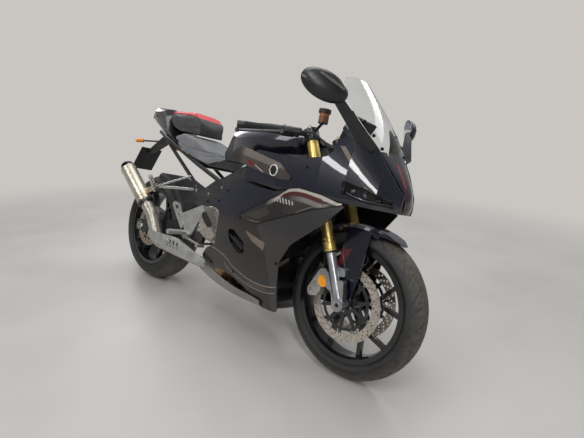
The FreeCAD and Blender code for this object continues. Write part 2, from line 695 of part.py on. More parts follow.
def rear_shock():
    """The rear damper with its spring seats, from the swingarm's brace up to the frame's cross tube."""
    low = V(468, 0, 404)
    high = V(650, 0, 542)
    along = (high - low).normalize()
    return fused(rod(low, high, 11), rod(low + along * 26, high - along * 50, 27),
                 rod(low + along * 20, low + along * 30, 32), rod(high - along * 60, high - along * 46, 32))


def pitch_radius(teeth):
    """Radius of the circle that a roller chain's pins follow round a sprocket."""
    return CHAIN_PITCH / 2 / math.sin(math.pi / teeth)


def sprocket(centre, teeth, bore_r):
    """A toothed plate: one triangular tooth per chain pitch round a disc."""
    root = pitch_radius(teeth) - 5
    tip = pitch_radius(teeth) + 4
    points = []
    for i in range(teeth):
        for step, radius in ((-0.34, root), (-0.08, tip), (0.08, tip), (0.34, root)):
            angle = 2 * math.pi * (i + step) / teeth
            points.append(V(radius * math.sin(angle), 0, radius * math.cos(angle)))
    wire = Part.makePolygon(points + points[:1])
    plate = Part.Face(wire).extrude(across * SPROCKET_T)
    plate.translate(V(centre.x, CHAIN_Y - SPROCKET_T / 2, centre.z))
    bore_start = V(centre.x, CHAIN_Y - SPROCKET_T / 2 - 1, centre.z)
    bore = Part.makeCylinder(bore_r, SPROCKET_T + 2, bore_start, across)
    return plate.cut(bore)


def chain_outline(high, low, y):
    """The chain's closed path round both sprockets, waisted between its pins: how far its edge stands
    from the pitch line at a pin and midway between two."""
    back_r = pitch_radius(REAR_TEETH)
    front_r = pitch_radius(DRIVE_TEETH)
    run = DRIVE_SPROCKET - rear_axle
    angle = math.atan2(run.z, run.x)
    lean_in = math.acos((back_r - front_r) / run.Length)
    straight = run.Length * math.sin(lean_in)
    wraps = (2 * lean_in * front_r, 2 * (math.pi - lean_in) * back_r)
    whole = 2 * straight + sum(wraps)
    steps = 4 * round(whole / CHAIN_PITCH / 2)
    points = []
    for i in range(steps):
        offset = high if i % 2 == 0 else low
        left = whole * i / steps
        if left < straight:
            direction = angle + lean_in
            start = rear_axle + V(math.cos(direction), 0, math.sin(direction)) * (back_r + offset)
            point = start + V(math.sin(direction), 0, -math.cos(direction)) * left
        elif left < straight + wraps[0]:
            direction = angle + lean_in - (left - straight) / front_r
            point = DRIVE_SPROCKET + V(math.cos(direction), 0, math.sin(direction)) * (front_r + offset)
        elif left < 2 * straight + wraps[0]:
            direction = angle - lean_in
            start = DRIVE_SPROCKET + V(math.cos(direction), 0, math.sin(direction)) * (front_r + offset)
            point = start + V(math.sin(direction), 0, -math.cos(direction)) * (left - straight - wraps[0])
        else:
            direction = angle - lean_in - (left - 2 * straight - wraps[0]) / back_r
            point = rear_axle + V(math.cos(direction), 0, math.sin(direction)) * (back_r + offset)
        points.append(V(point.x, y, point.z))
    return Part.makePolygon(points + points[:1])


def chain():
    """The drive chain as one closed loop of waisted links, every second pair of plates set outwards."""
    y = CHAIN_Y - CHAIN_W / 2
    half = CHAIN_PLATE_H / 2
    outer = Part.Face(chain_outline(half, half - 2.2, y)).extrude(across * CHAIN_W)
    inner = Part.Face(chain_outline(1 - half, 3.2 - half, y - 1)).extrude(across * (CHAIN_W + 2))
    groove_y = CHAIN_Y - SPROCKET_T / 2 - 1.5
    groove = Part.Face(chain_outline(5.0, 5.0, groove_y)).extrude(across * (SPROCKET_T + 3))
    return outer.cut(inner).cut(groove)


# Engine, cooling and exhaust

def engine():
    """The engine's mass at its real place: crankcase below, cylinders leaning forward above."""
    case = body_prism([(628, 436, 20), (672, 300, 30), (1000, 262, 40), (1048, 330, 30),
                       (1010, 520, 30), (730, 540, 30)], -ENGINE_Y, ENGINE_Y)
    cylinders = body_prism([(800, 500, 10), (1012, 470, 20), (1062, 690, 30), (902, 742, 30)], -112, 112)
    lug = side_prism([(652, 450, 4), (706, 508, 4), (690, 528, 4), (650, 528, 4)], 50, 80)
    recess = Part.makeBox(132, ENGINE_Y, 168, V(590, 92, 318))
    return fused(fused(case, cylinders, lug, mirrored(lug)).cut(recess), drive_sprocket())


def drive_sprocket():
    """The small sprocket on the engine's output shaft, with the ring that the chain's plates rest on."""
    centre = DRIVE_SPROCKET + across * CHAIN_Y
    shaft = rod(DRIVE_SPROCKET + across * 88, centre + across * 14, 14)
    ring = rod(centre - across * (CHAIN_W / 2), centre + across * (CHAIN_W / 2),
               pitch_radius(DRIVE_TEETH) - CHAIN_PLATE_H / 2 + 1)
    return fused(sprocket(DRIVE_SPROCKET, DRIVE_TEETH, 5), shaft, ring)


def clutch_cover():
    """The round clutch cover on the right, a chamfered lid on a flanged base."""
    base = side_prism([(616, 384, 40), (742, 366, 46), (770, 470, 50), (724, 556, 40), (636, 544, 40)],
                      -172, -ENGINE_Y)
    centre = V(680, -172, 463)
    lid = Part.makeCylinder(CLUTCH_R, 12, centre, -across)
    edge = Part.makeCone(CLUTCH_R, CLUTCH_R - 8, 8, centre - across * 12, -across)
    rim_ring = disc_band(centre - across * 20, 0, CLUTCH_R - 14, 6, 3)
    return fused(base, lid, edge, rim_ring)


def alternator_cover():
    """The alternator cover on the left end of the crankshaft."""
    centre = V(fore(890), ENGINE_Y, 420)
    base = Part.makeCylinder(74, 24, centre, across)
    lid = Part.makeCylinder(60, 34, centre, across)
    edge = Part.makeCone(60, 50, 9, centre + across * 34, across)
    return fused(base, lid, edge)


def sprocket_cover():
    """The cover outside the drive sprocket on the left."""
    return side_prism([(656, 356, 14), (700, 310, 20), (756, 400, 26), (724, 500, 20), (652, 496, 20)],
                      ENGINE_Y, ENGINE_Y + 12)


def radiator():
    """The radiator ahead of the cylinders, finned in front, hung from the spars with side stays."""
    back = front_axle.x - FRONT_TYRE_R - 22
    core = side_prism([(back, 420, 6), (back + 32, 410, 6), (back + 66, 660, 6), (back + 34, 668, 6)],
                      -150, 150)
    slots = []
    for z in range(426, 646, 12):
        face = back + 32 + 34 * (z - 410) / 250
        slots.append(side_prism([(face - 4, z), (face + 4, z), (face + 4, z + 6), (face - 4, z + 6)],
                                -138, 138))
    core = core.cut(Part.makeCompound(slots))
    hanger = rod(V(back + 46, 30, 650), V(fore(1116), 27, 770), 8)
    stay = rod(V(back + 30, 140, 520), V(back + 30, 258, 520), 7)
    return fused(core, hanger, mirrored(hanger), stay, mirrored(stay))


def header_path(index):
    """One header's route from its exhaust port forward, down and back under the engine."""
    y = (-78, -26, 26, 78)[index]
    gather = (-30, -10, 10, 30)[index]
    front = front_axle.x - FRONT_TYRE_R - 41
    return [V(fore(1024), y, 566), V(front + 1, y, 520), V(front - 1, y * 0.9, 330),
            V(front - 69, y * 0.7, 224), V(fore(820), gather * 1.3, 214)]


def headers():
    """The four exhaust headers and the box they run into."""
    pipes = [bent_tube(header_path(i), 19, 34) for i in range(4)]
    collector = ruled_beam([(600, 196, 236, -62, 62), (700, 188, 240, -70, 70), (824, 192, 236, -66, 66)])
    return fused(*pipes, collector)


def mid_pipe():
    """The link pipe from the collector up to the silencer, sleeved by a wider cover at the top."""
    throat = SILENCER_LOW - silencer_axis() * SILENCER_THROAT
    knee = throat - silencer_axis() * 66
    low = V(250, -176, 272)
    pipe = bent_tube([V(612, -40, 216), V(470, -96, 236), low, knee, throat], 27, 36)
    cover = bent_tube([low + (knee - low) * 0.2, knee, throat], 33, 50)
    return fused(pipe, cover)


def silencer_axis():
    """The direction along the silencer, upwards."""
    return (SILENCER_TOP - SILENCER_LOW).normalize()


def silencer():
    """A round canister with a rolled band at each end, a conical end cap with an open outlet, and its
    hanger strap."""
    axis = silencer_axis()
    can = rod(SILENCER_LOW, SILENCER_TOP, SILENCER_R)
    throat = Part.makeCone(33, SILENCER_R, SILENCER_THROAT, SILENCER_LOW - axis * SILENCER_THROAT, axis)
    cap = Part.makeCone(SILENCER_R, SILENCER_R - 9, 32, SILENCER_TOP, axis)
    bands = [rod(SILENCER_LOW + axis * 5, SILENCER_LOW + axis * 15, SILENCER_R + 1.5),
             rod(SILENCER_TOP - axis * 10, SILENCER_TOP, SILENCER_R + 1.5)]
    strap = side_prism([(224, 588, 6), (222, 562, 6), (72, 508, 6), (56, 540, 6)], -206, -199)
    bore = rod(SILENCER_TOP - axis * 90, SILENCER_TOP + axis * 40, OUTLET_R)
    return fused(can, throat, cap, *bands, strap).cut(bore)


def exhaust_shield():
    """A pressed heat shield bowed over the outside of the link pipe, slotted, on two spacers."""
    skin = curved_skin([(190, (200, 352), (224, 312), (212, 276)), (480, (200, 364), (226, 305), (212, 240)),
                        (750, (190, 324), (212, 272), (202, 236))], 3)
    outline = side_prism([(205, 332, 8), (477, 345, 200), (719, 294, 14), (730, 256, 6), (480, 257, 200),
                          (239, 288, 14)], 150, 240)
    plate = skin.common(outline)
    for x in (400, 430, 460, 490):
        plate = plate.cut(side_prism([(x, 324, 3), (x + 13, 324, 3), (x + 25, 288, 3), (x + 12, 288, 3)],
                                     150, 240))
    spacers = [rod(V(300, 221, 276), V(300, 176, 276), 8), rod(V(450, 219, 268), V(450, 108, 262), 8)]
    return mirrored(fused(plate, *spacers))


def fairing_skin(proud, wall):
    """The side surface of the lower fairing on the left, moved outwards by an amount."""
    stations = [(600, (176, 640), (205, 430), (166, 220)), (860, (212, 740), (240, 470), (168, 190)),
                (1150, (238, 760), (256, 470), (182, 150)), (1460, (196, 760), (214, 520), (180, 240))]
    moved = [(x, (top[0] + proud, top[1]), (mid[0] + proud, mid[1]), (low[0] + proud, low[1]))
             for x, top, mid, low in stations]
    return curved_skin(moved, wall)


# Bodywork

def side_fairing():
    """One lower side fairing on the left: the panel, its raised front blade and its sunk air outlet."""
    outline = body_prism([(636, 556, 6), (650, 574, 8), (752, 598, 20), (838, 696, 26), (1112, 676, 60),
                          (1200, 694, 40), (1430, 671, 4), (1372, 598, 60), (1246, 488, 60), (1204, 410, 40),
                          (1204, 200, 24), (1110, 196, 30), (1040, 236, 20), (919, 272, 40), (826, 279, 40),
                          (745, 262, 20), (664, 300, 20), (712, 352, 20), (786, 388, 30), (792, 546, 30)],
                         100, 300)
    blade = body_prism([(1324, 639, 40), (1430, 671, 4), (1372, 598, 60), (1246, 488, 60), (1204, 410, 40),
                        (1204, 200, 24), (1172, 202, 10), (1158, 352, 80), (1120, 452, 60), (1062, 528, 6)],
                       100, 300)
    panel = fairing_skin(0, PANEL_T).common(outline).cut(body_prism(AIR_OUTLET, 100, 300))
    return fused(panel, fairing_skin(BLADE_PROUD, PANEL_T).common(blade), vent_duct())


def vent_duct():
    """The air outlet behind its opening in the panel: a sleeve, a floor and one slanted vane."""
    wide = [(866, 486, 22), (928, 488, 20), (1007, 446, 20), (1012, 392, 20), (954, 380, 20), (888, 420, 30)]
    sleeve = body_prism(wide, 100, 300).cut(body_prism(AIR_OUTLET, 90, 310))
    vane = body_prism([(884, 462, 3), (986, 414, 3), (984, 404, 3), (882, 452, 3)], 100, 300)
    return fused(fairing_skin(1 - PANEL_T, 26).common(sleeve), fairing_skin(-24, PANEL_T).common(
        body_prism(wide, 100, 300)), fairing_skin(-5, 24).common(vane))


def shoulder_panel():
    """The raised panel along the shoulder of the fairing, on the left."""
    outline = body_prism([(950, 552, 5), (1148, 662, 60), (1192, 696, 20), (1237, 705, 30), (1333, 696, 60),
                          (1400, 680, 10), (1436, 680, 3), (1331, 646, 60), (1050, 533, 5)], 100, 300)
    return fairing_skin(TRIM_T + TRIM_GAP, TRIM_T).common(outline)


def flank_panel():
    """The gloss panel below the tank's flank, on the left, lying on the fairing."""
    outline = body_prism([(654, 571, 6), (752, 594, 20), (840, 690, 26), (1100, 676, 10), (1140, 662, 3),
                          (946, 554, 4), (958, 526, 6), (808, 550, 20)], 100, 300)
    return fairing_skin(TRIM_T + TRIM_GAP, TRIM_T).common(outline)


def belly_pan():
    """The belly pan: a trough under the exhaust with upright sides that close the fairing below."""
    wires = []
    stations = ((650, 188, 174, 273, 238), (757, 190, 172, 258, 210), (896, 200, 162, 233, 196),
                (1039, 212, 164, 228, 198), (1110, 216, 170, 224, 202))
    for station, half, low, rim_z, side_z in stations:
        x = fore(station)
        outer = [V(x, -half, rim_z), V(x, 8 - half, side_z), V(x, 0, low), V(x, half - 8, side_z),
                 V(x, half, rim_z)]
        inner = [V(x, half - PANEL_T, rim_z), V(x, half - 8 - PANEL_T, side_z + 1), V(x, 0, low + PANEL_T),
                 V(x, 8 + PANEL_T - half, side_z + 1), V(x, PANEL_T - half, rim_z)]
        edges = []
        for side in (outer, inner):
            edges += [Part.LineSegment(side[0], side[1]).toShape(),
                      Part.Arc(side[1], side[2], side[3]).toShape(),
                      Part.LineSegment(side[3], side[4]).toShape()]
        edges.insert(3, Part.LineSegment(outer[4], inner[0]).toShape())
        edges.append(Part.LineSegment(inner[4], outer[0]).toShape())
        wires.append(Part.Wire(edges))
    return Part.makeLoft(wires, True, False)


def upper_cowl():
    """One side of the upper cowl on the left, from the arm beside the tank to the nose."""
    skin = curved_skin([(850, (176, 850), (192, 770), (196, 680)),
                        (1100, (206, 860), (226, 770), (226, 660)),
                        (1300, (168, 1060), (222, 850), (228, 650)),
                        (1400, (132, 1000), (196, 820), (204, 660)),
                        (1500, (70, 860), (138, 750), (134, 650)),
                        (1562, (24, 780), (46, 720), (36, 660))], PANEL_T, straight=True)
    outline = body_prism([(1334, 1034, 6), (1462, 892, 80), (1560, 742), (1560, 678), (1430, 681, 30),
                          (1200, 703, 40), (1112, 685, 60), (872, 704, 16), (912, 838, 20),
                          (1180, 820, 60), (1330, 838, 40), (1342, 962, 40)], 0, 300)
    panel = skin.common(outline)
    slot = body_prism([(1392, 762, 6), (1470, 744, 20), (1544, 712, 3), (1538, 696, 3), (1480, 695, 20),
                       (1396, 714, 6)], 40, 300)
    return panel.cut(slot)


def nose():
    """The nose panel between the two cowl sides, from the screen's foot down to the tip."""
    return crossing_skin([((1464, 890, 98), (1480, 894)), ((1500, 836, 82), (1514, 840)),
                          ((1536, 784, 56), (1548, 787)), ((1560, 736, 38), (1568, 738)),
                          ((1556, 678, 38), (1561, 678))], PANEL_T)


def cowl_stay():
    """The stay from the headstock that carries the cowl, its lamps, the instruments and the mirrors."""
    spine = rod(V(fore(1187), 0, 800), V(fore(1440), 0, 790), 13)
    cross = rod(V(fore(1400), -196.5, 790), V(fore(1400), 196.5, 790), 8)
    return fused(spine, cross)


def lamp_beam(grow, inner, outer):
    """The lamp's slim box behind its slot, widened by a margin, between two depths below the cowl."""
    return ruled_beam([(1396 - grow, 714 - grow, 762 + grow, 201 - inner, 201 - outer),
                       (1470, 696 - grow, 744 + grow, 162 - inner, 162 - outer),
                       (1540 + grow, 696 - grow, 712 + grow, 84 - inner, 84 - outer)])


def windscreen():
    """A tall curved screen, bowed across and along."""
    return crossing_skin([((1470, 878, 98), (1478, 884)), ((1400, 966, 145), (1430, 978)),
                          ((1336, 1034, 153), (1380, 1050)), ((1248, 1164, 112), (1264, 1182))], SCREEN_T)


def headlamps():
    """Slim lamp housings, open in front, that seat against the cowl from behind."""
    shell = lamp_beam(6, 46, 7.3).cut(lamp_beam(1, 40, 2))
    return pair(shell)


def lamp_lenses():
    """The clear lenses in front of the lamp housings."""
    return pair(lamp_beam(6, 7, 0))


def instruments():
    """The instrument display on its stay, behind the screen."""
    panel = body_prism([(1262, 968, 6), (1300, 1028, 6), (1318, 1018, 6), (1282, 958, 6)], -84, 84)
    stay = body_prism([(1278, 984, 3), (1304, 990, 3), (1430, 790, 8), (1410, 782, 8)], -22, 22)
    return fused(panel, stay)


def tank():
    """The fuel tank: a solid shell through crowned sections, its back scooped for the rider."""
    shell = rounded_loft([(1056, 844, 895, 934, 43, 54), (1006, 826, 898, 958, 83, 104),
                          (860, 790, 895, 984, 118, 148), (740, 782, 890, 988, 112, 138),
                          (640, 780, 880, 972, 88, 104), (560, 778, 870, 930, 66, 76)], False)
    scoop = side_prism([(480, 1100), (664, 1100), (652, 968, 30), (628, 884, 60), (552, 806, 20),
                        (480, 806)], -200, 200)
    return shell.cut(scoop)


def tank_covers():
    """Side covers below the tank's flanks, lying on the cowl's arms."""
    cover = curved_skin([(720, (172, 850), (200, 790), (204, 740)),
                         (900, (190, 880), (212, 810), (214, 740)),
                         (1180, (214, 850), (234, 780), (236, 720))], 14)
    outline = body_prism([(768, 780, 10), (780, 830, 8), (826, 846, 16), (1100, 790, 14), (1188, 732, 8),
                          (1112, 726, 20)], 100, 300)
    return cover.common(outline)


def rider_seat():
    """The rider's seat as a plain closed block of its real size, narrow at its nose."""
    side = side_prism([(118, 872, 14), (245, 891, 60), (355, 863, 60), (452, 814, 40), (588, 802, 8),
                       (584, 780, 6), (480, 729, 30), (146, 812, 10)], -130, 130)
    plan = plan_prism([(110, -96, 30), (260, -128, 60), (400, -124, 60), (592, -70, 24), (592, 70, 24),
                       (400, 124, 60), (260, 128, 60), (110, 96, 30)], 700, 920)
    return side.common(plan)


def pillion_seat():
    """The passenger's pad as a plain closed block of its real size."""
    side = side_prism([(2, 1000, 10), (28, 1022, 20), (280, 1011, 50), (335, 966, 24), (334, 889, 8),
                       (140, 902, 20), (60, 926, 20), (4, 972, 6)], -100, 100)
    plan = plan_prism([(-4, -74, 20), (190, -93, 80), (340, -88, 24), (340, 88, 24), (190, 93, 80),
                       (-4, 74, 20)], 860, 1060)
    return side.common(plan)


def tail():
    """The tail unit under the seats, rising behind the pad to a hump that tapers to its tip."""
    return rounded_loft([(396, 738, 747, 753, 98, 104), (240, 800, 811, 818, 106, 112),
                         (150, 828, 845, 852, 104, 112), (60, 862, 898, 912, 92, 104),
                         (-10, 886, 978, 1004, 80, 96), (-62, 904, 1012, 1040, 68, 88),
                         (-217, 958, 1020, 1052, 30, 48), (-268, 976, 986, 996, 14, 26)])


def tail_lamp():
    """The tail lamp strip across the tip of the tail."""
    return Part.makeBox(14, 36, 12, V(-280, -18, 979))


def subframe():
    """The tubular rear subframe: two rails and two stays each side, joined by cross tubes."""
    upper = bent_tube([V(690, 132, 650), V(420, 122, 732), V(60, 100, 850), V(-60, 78, 890)], 11, 60)
    lower = bent_tube([V(650, 132, 572), V(420, 128, 640), V(110, 104, 812), V(60, 100, 846)], 10, 60)
    side = upper.fuse(lower)
    ties = [rod(V(x, -y, z), V(x, y, z), 9) for x, y, z in ((420, 122, 730), (60, 100, 848))]
    return fused(side, mirrored(side), *ties)


def plate_hanger():
    """The number plate hanger under the tail with its bare board, and an indicator on each side."""
    arm = ruled_beam([(-40, 868, 920, -22, 22), (-150, 812, 850, -24, 24), (-292, 744, 766, -18, 18)])
    board = side_prism([(-266, 782, 2), (-273, 785, 2), (-366, 642, 2), (-359, 638, 2)], -70, 70)
    root = V(-112, 14, 838)
    tip = V(-186, 120, 818)
    reach = (tip - root).normalize()
    lamp = fused(rod(root, tip, 5), rod(tip - reach * 6, tip + reach * 30, 11),
                 Part.makeSphere(11, tip + reach * 30))
    return fused(arm, board, lamp, mirrored(lamp))


def hugger():
    """The rear inner mudguard over the tyre, on a strut from the swingarm's brace."""
    inner_r = REAR_TYRE_R + 12
    half = REAR_TYRE_W / 2
    outer = [(-half, inner_r - 40), (-half, inner_r - 12), (14 - half, inner_r), (half - 14, inner_r),
             (half, inner_r - 12), (half, inner_r - 40)]
    inner = [(half - PANEL_T, inner_r - 40), (half - PANEL_T, inner_r - 14), (half - 16, inner_r - PANEL_T),
             (16 - half, inner_r - PANEL_T), (PANEL_T - half, inner_r - 14), (PANEL_T - half, inner_r - 40)]
    ring = turned(outer + inner, rear_axle)
    high = rear_axle.z + inner_r
    window = side_prism([(0, rear_axle.z + 138), (inner_r + 90, rear_axle.z + 138),
                         (inner_r + 90, high + 112), (40, high + 112)], -120, 120)
    touch = math.radians(26)
    seat_x = inner_r * math.cos(touch)
    seat_z = rear_axle.z + inner_r * math.sin(touch)
    strut = side_prism([(seat_x - 10, seat_z, 3), (seat_x - 2, seat_z + 20, 3), (458, 424, 3), (452, 408, 3)],
                       -30, 30)
    tyre_room = Part.makeCylinder(inner_r - PANEL_T, 80, rear_axle - across * 40, across)
    return fused(ring.common(window), strut.cut(tyre_room))


def mirrors():
    """Mirrors: rounded heads, flat behind, on flattened arms from the cowl."""
    centre = V(fore(1336), 336, 1058)
    outwards = V(-0.596, 0.763, 0.250).normalize()
    forward = outwards.cross(V(-0.24, 0.14, 0.96)).normalize()
    upwards = forward.cross(outwards)
    size = FreeCAD.Matrix()
    size.scale(88, 50, 30)
    head = Part.makeSphere(1).transformGeometry(size)
    head = head.cut(Part.makeBox(200, 200, 60, V(-100, -100, -66)))
    head.Placement = FreeCAD.Placement(FreeCAD.Matrix(outwards.x, upwards.x, forward.x, centre.x,
                                                      outwards.y, upwards.y, forward.y, centre.y,
                                                      outwards.z, upwards.z, forward.z, centre.z, 0, 0, 0, 1))
    return head.fuse(beam_arm(V(fore(1352), 306, 1046), V(fore(1446), 140, 880), V(14, 0, 8),
                              V(26, 0, 16)))


def beam_arm(start, end, wide_start, wide_end):
    """A flattened arm between two points, with its half widths at both ends."""
    thick = V(3, 7, 0)
    wires = []
    for centre, wide in ((start, wide_start), (end, wide_end)):
        wires.append(Part.makePolygon([centre - wide, centre - thick, centre + wide, centre + thick,
                                       centre - wide]))
    return Part.makeLoft(wires, True, True)


def footrest():
    """A rider's footrest set: bracket, open heel guard, hinged peg and pedal."""
    plate_y = FRAME_PLATE_Y + FRAME_PLATE_T
    bracket = side_prism([(430, 470, 8), (590, 540, 14), (604, 500, 10), (520, 372, 12), (470, 360, 12)],
                         plate_y, plate_y + 10)
    guard = side_prism([(310, 500, 8), (334, 517, 8), (378, 512, 10), (444, 402, 8), (424, 382, 8)],
                       plate_y, plate_y + 5)
    guard = guard.cut(side_prism([(332, 499, 4), (368, 497, 4), (418, 410, 4)], plate_y - 1, plate_y + 6))
    arm = side_prism([(356, 470, 4), (366, 484, 4), (480, 446, 6), (476, 426, 6)], plate_y, plate_y + 6)
    peg = rod(V(484, 164, 376), V(492, 286, 380), 12)
    pedal = rod(V(490, 176, 352), V(640, 184, 340), 6)
    foot = rod(V(636, 168, 340), V(636, 212, 342), 8)
    boss = rod(V(488, plate_y, 366), V(488, plate_y + 22, 366), 22)
    return fused(bracket, guard, arm, peg, pedal, foot, boss)


def passenger_rests():
    """Passenger footrests on their stays below the subframe."""
    stay = fused(rod(V(474, 154, 600), V(215, 203, 574), 8), rod(V(392, 130, 664), V(222, 200, 582), 7))
    peg = rod(V(186, 204, 548), V(212, 262, 626), 12)
    hub = rod(V(204, 190, 572), V(204, 214, 574), 15)
    return fused(stay, peg, hub)


# Side stand

def stand_axis():
    """The stand's hinge axis, square to the deployed leg and to the folded one."""
    deployed = (stand_ground() - STAND_PIVOT).normalize()
    folded = V(-1, 0.16, 0.10).normalize()
    return deployed.cross(folded).normalize()


def stand_ground():
    """Where the stand's foot meets the ground, on the ground plane as the upright machine sees it."""
    height = (STAND_FOOT.y * math.sin(lean) - contact_drop(STAND_FOOT.x)) / math.cos(lean)
    return V(STAND_FOOT.x, STAND_FOOT.y, height)


def crown_radius(width, crown_drop):
    """Radius of the arc through both shoulders and the crown of a tyre."""
    half = width / 2
    return (half * half + crown_drop * crown_drop) / (2 * crown_drop)


def wheel_drop(width, crown_drop):
    """How far a wheel's lowest point sinks as its round tyre rolls over to the lean."""
    return crown_radius(width, crown_drop) * (1 - math.cos(lean))


def contact_drop(x):
    """That drop anywhere between the two wheels."""
    back = wheel_drop(REAR_TYRE_W, REAR_CROWN_DROP)
    front = wheel_drop(FRONT_TYRE_W, FRONT_CROWN_DROP)
    return back + (front - back) * x / WHEELBASE


def side_stand():
    """A tube leg with a flat foot that lies on the ground, hinged in the frame's clevis."""
    ground = stand_ground()
    down = V(0, math.sin(lean), -math.cos(lean))
    sole = ground - down * (STAND_FOOT_T / 2)
    axis = stand_axis()
    leg = rod(STAND_PIVOT, sole, STAND_LEG_R)
    blade = Part.makeCylinder(17, STAND_BLADE_T, STAND_PIVOT - axis * (STAND_BLADE_T / 2), axis)
    pad = Part.makeCylinder(STAND_FOOT_R, STAND_FOOT_T, ground - down * STAND_FOOT_T, down)
    whole = fused(leg, blade, pad)
    hole = rod(STAND_PIVOT - axis * 40, STAND_PIVOT + axis * 40, STAND_BOLT_R + RUNNING_GAP)
    for side in (-1, 1):
        ear_room = Part.makeCylinder(25, 60, STAND_PIVOT + axis * (side * STAND_BLADE_T / 2), axis * side)
        whole = whole.cut(ear_room)
    return whole.cut(hole)


def stand_clevis():
    """The clevis under the left frame plate that the stand turns in, with its bolt."""
    axis = stand_axis()
    gap = STAND_BLADE_T / 2 + 0.2
    upward = (V(0, 0, 1) - axis * axis.z).normalize()
    wide = axis.cross(upward) * 18
    block = side_prism([(572, 384, 6), (576, 302, 8), (640, 298, 8), (652, 344, 8), (612, 384, 6)],
                       119, FRAME_PLATE_Y + FRAME_PLATE_T)
    slot = Part.makeCylinder(30, 2 * gap, STAND_PIVOT - axis * gap, axis)
    parts = [block.cut(slot)]
    for side in (-1, 1):
        face = STAND_PIVOT + axis * (side * gap)
        parts.append(Part.makeCylinder(18, STAND_EAR_T, face, axis * side))
        web = Part.makePolygon([face - wide, face + wide, face + wide + upward * 52,
                                face - wide + upward * 52, face - wide])
        parts.append(Part.Face(web).extrude(axis * (side * STAND_EAR_T)))
    reach = gap + STAND_EAR_T + 4
    parts.append(rod(STAND_PIVOT - axis * reach, STAND_PIVOT + axis * reach, STAND_BOLT_R))
    return fused(*parts)


# Assembly

def nodes():
    """Every piece by name, with the machine upright. A piece that lies on others is cut to their form."""
    legs = fork_legs()
    cowl = pair(upper_cowl())
    frame = main_frame().cut(cowl)
    arm = swingarm()
    fairings = pair(side_fairing())
    block = engine().cut(frame)
    pipes = headers().cut(block)
    muffler = silencer()
    link = mid_pipe().cut(pipes).cut(muffler)
    rails = subframe().cut(frame)
    tail_unit = tail().cut(rails)
    fuel_tank = tank().cut(frame)
    seat = rider_seat().cut(tail_unit).cut(rails).cut(fuel_tank)
    stay = cowl_stay().cut(frame)
    front_panel = nose().cut(cowl)
    calipers = front_calipers().cut(legs)
    yoke_set = yokes()
    blades = levers()
    lamps = headlamps().cut(cowl).cut(stay)
    return {
        "front_tyre": tyre(front_axle, FRONT_TYRE_R, FRONT_TYRE_W, FRONT_RIM_W, FRONT_CROWN_DROP),
        "front_rim": rim(front_axle, FRONT_RIM_W, FRONT_HUB_R, FRONT_HUB_W, AXLE_R, SPOKE_T, 0),
        "front_discs": pair(drilled_ring(front_axle, FRONT_DISC_Y, FRONT_DISC_R, FRONT_DISC_BAND,
                                         FRONT_DISC_T, 30)),
        "front_carriers": pair(disc_carrier(front_axle, FRONT_DISC_Y, FRONT_HUB_W / 2,
                                            FRONT_DISC_R - FRONT_DISC_BAND, 40, AXLE_R + 8)),
        "rear_tyre": tyre(rear_axle, REAR_TYRE_R, REAR_TYRE_W, REAR_RIM_W, REAR_CROWN_DROP),
        "rear_rim": rim(rear_axle, REAR_RIM_W, REAR_HUB_R, REAR_HUB_W, REAR_AXLE_R, SPOKE_T + 6, 18),
        "rear_disc": fused(drilled_ring(rear_axle, -REAR_DISC_Y, REAR_DISC_R, REAR_DISC_BAND,
                                        REAR_DISC_T, 24),
                           disc_carrier(rear_axle, -REAR_DISC_Y, -REAR_HUB_W / 2,
                                        REAR_DISC_R - REAR_DISC_BAND + 2, 46, REAR_AXLE_R + 8)),
        "rear_sprocket": rear_sprocket(),
        "fork_tubes": fork_tubes(),
        "fork_legs": legs,
        "yokes": yoke_set,
        "clip_ons": clip_ons(),
        "grips": grips(),
        "switch_housings": switch_housings(),
        "levers": blades,
        "brake_reservoir": reservoirs().cut(clip_ons()),
        "front_mudguard": front_mudguard(),
        "front_axle": front_axle_tube(),
        "front_calipers": calipers,
        "reflectors": reflectors(),
        "brake_hoses": largest(brake_hoses().cut(calipers).cut(yoke_set).cut(blades), 4),
        "main_frame": frame,
        "swingarm": arm,
        "rear_axle": rear_axle_tube(),
        "rear_caliper": rear_caliper(),
        "rear_shock": rear_shock().cut(frame).cut(arm),
        "chain": chain(),
        "engine": block,
        "engine_covers": largest(Part.makeCompound([clutch_cover(), alternator_cover(),
                                                    sprocket_cover()]).cut(frame), 3),
        "radiator": largest(radiator().cut(frame).cut(fairings)),
        "headers": pipes,
        "mid_pipe": link,
        "silencer": muffler,
        "exhaust_shield": exhaust_shield().cut(link),
        "side_fairings": fairings,
        "shoulder_panels": pair(shoulder_panel()),
        "flank_panels": pair(flank_panel()),
        "belly_pan": largest(belly_pan().cut(fairings)),
        "cowl_stay": largest(stay.cut(cowl)),
        "upper_cowl": cowl,
        "nose": front_panel,
        "windscreen": windscreen().cut(cowl).cut(front_panel),
        "headlamps": lamps,
        "lamp_lenses": largest(lamp_lenses().cut(cowl).cut(lamps), 2),
        "instruments": instruments().cut(stay),
        "tank": fuel_tank,
        "tank_covers": largest(pair(tank_covers()).cut(cowl), 2),
        "rider_seat": seat,
        "pillion_seat": pillion_seat().cut(tail_unit).cut(seat),
        "tail": tail_unit,
        "tail_lamp": tail_lamp().cut(tail_unit),
        "subframe": rails,
        "plate_hanger": plate_hanger().cut(tail_unit),
        "hugger": hugger().cut(arm),
        "mirrors": largest(pair(mirrors()).cut(cowl), 2),
        "footrests": pair(footrest()),
        "passenger_rests": largest(pair(passenger_rests()).cut(rails).cut(muffler).cut(frame), 2),
        "side_stand": side_stand(),
    }


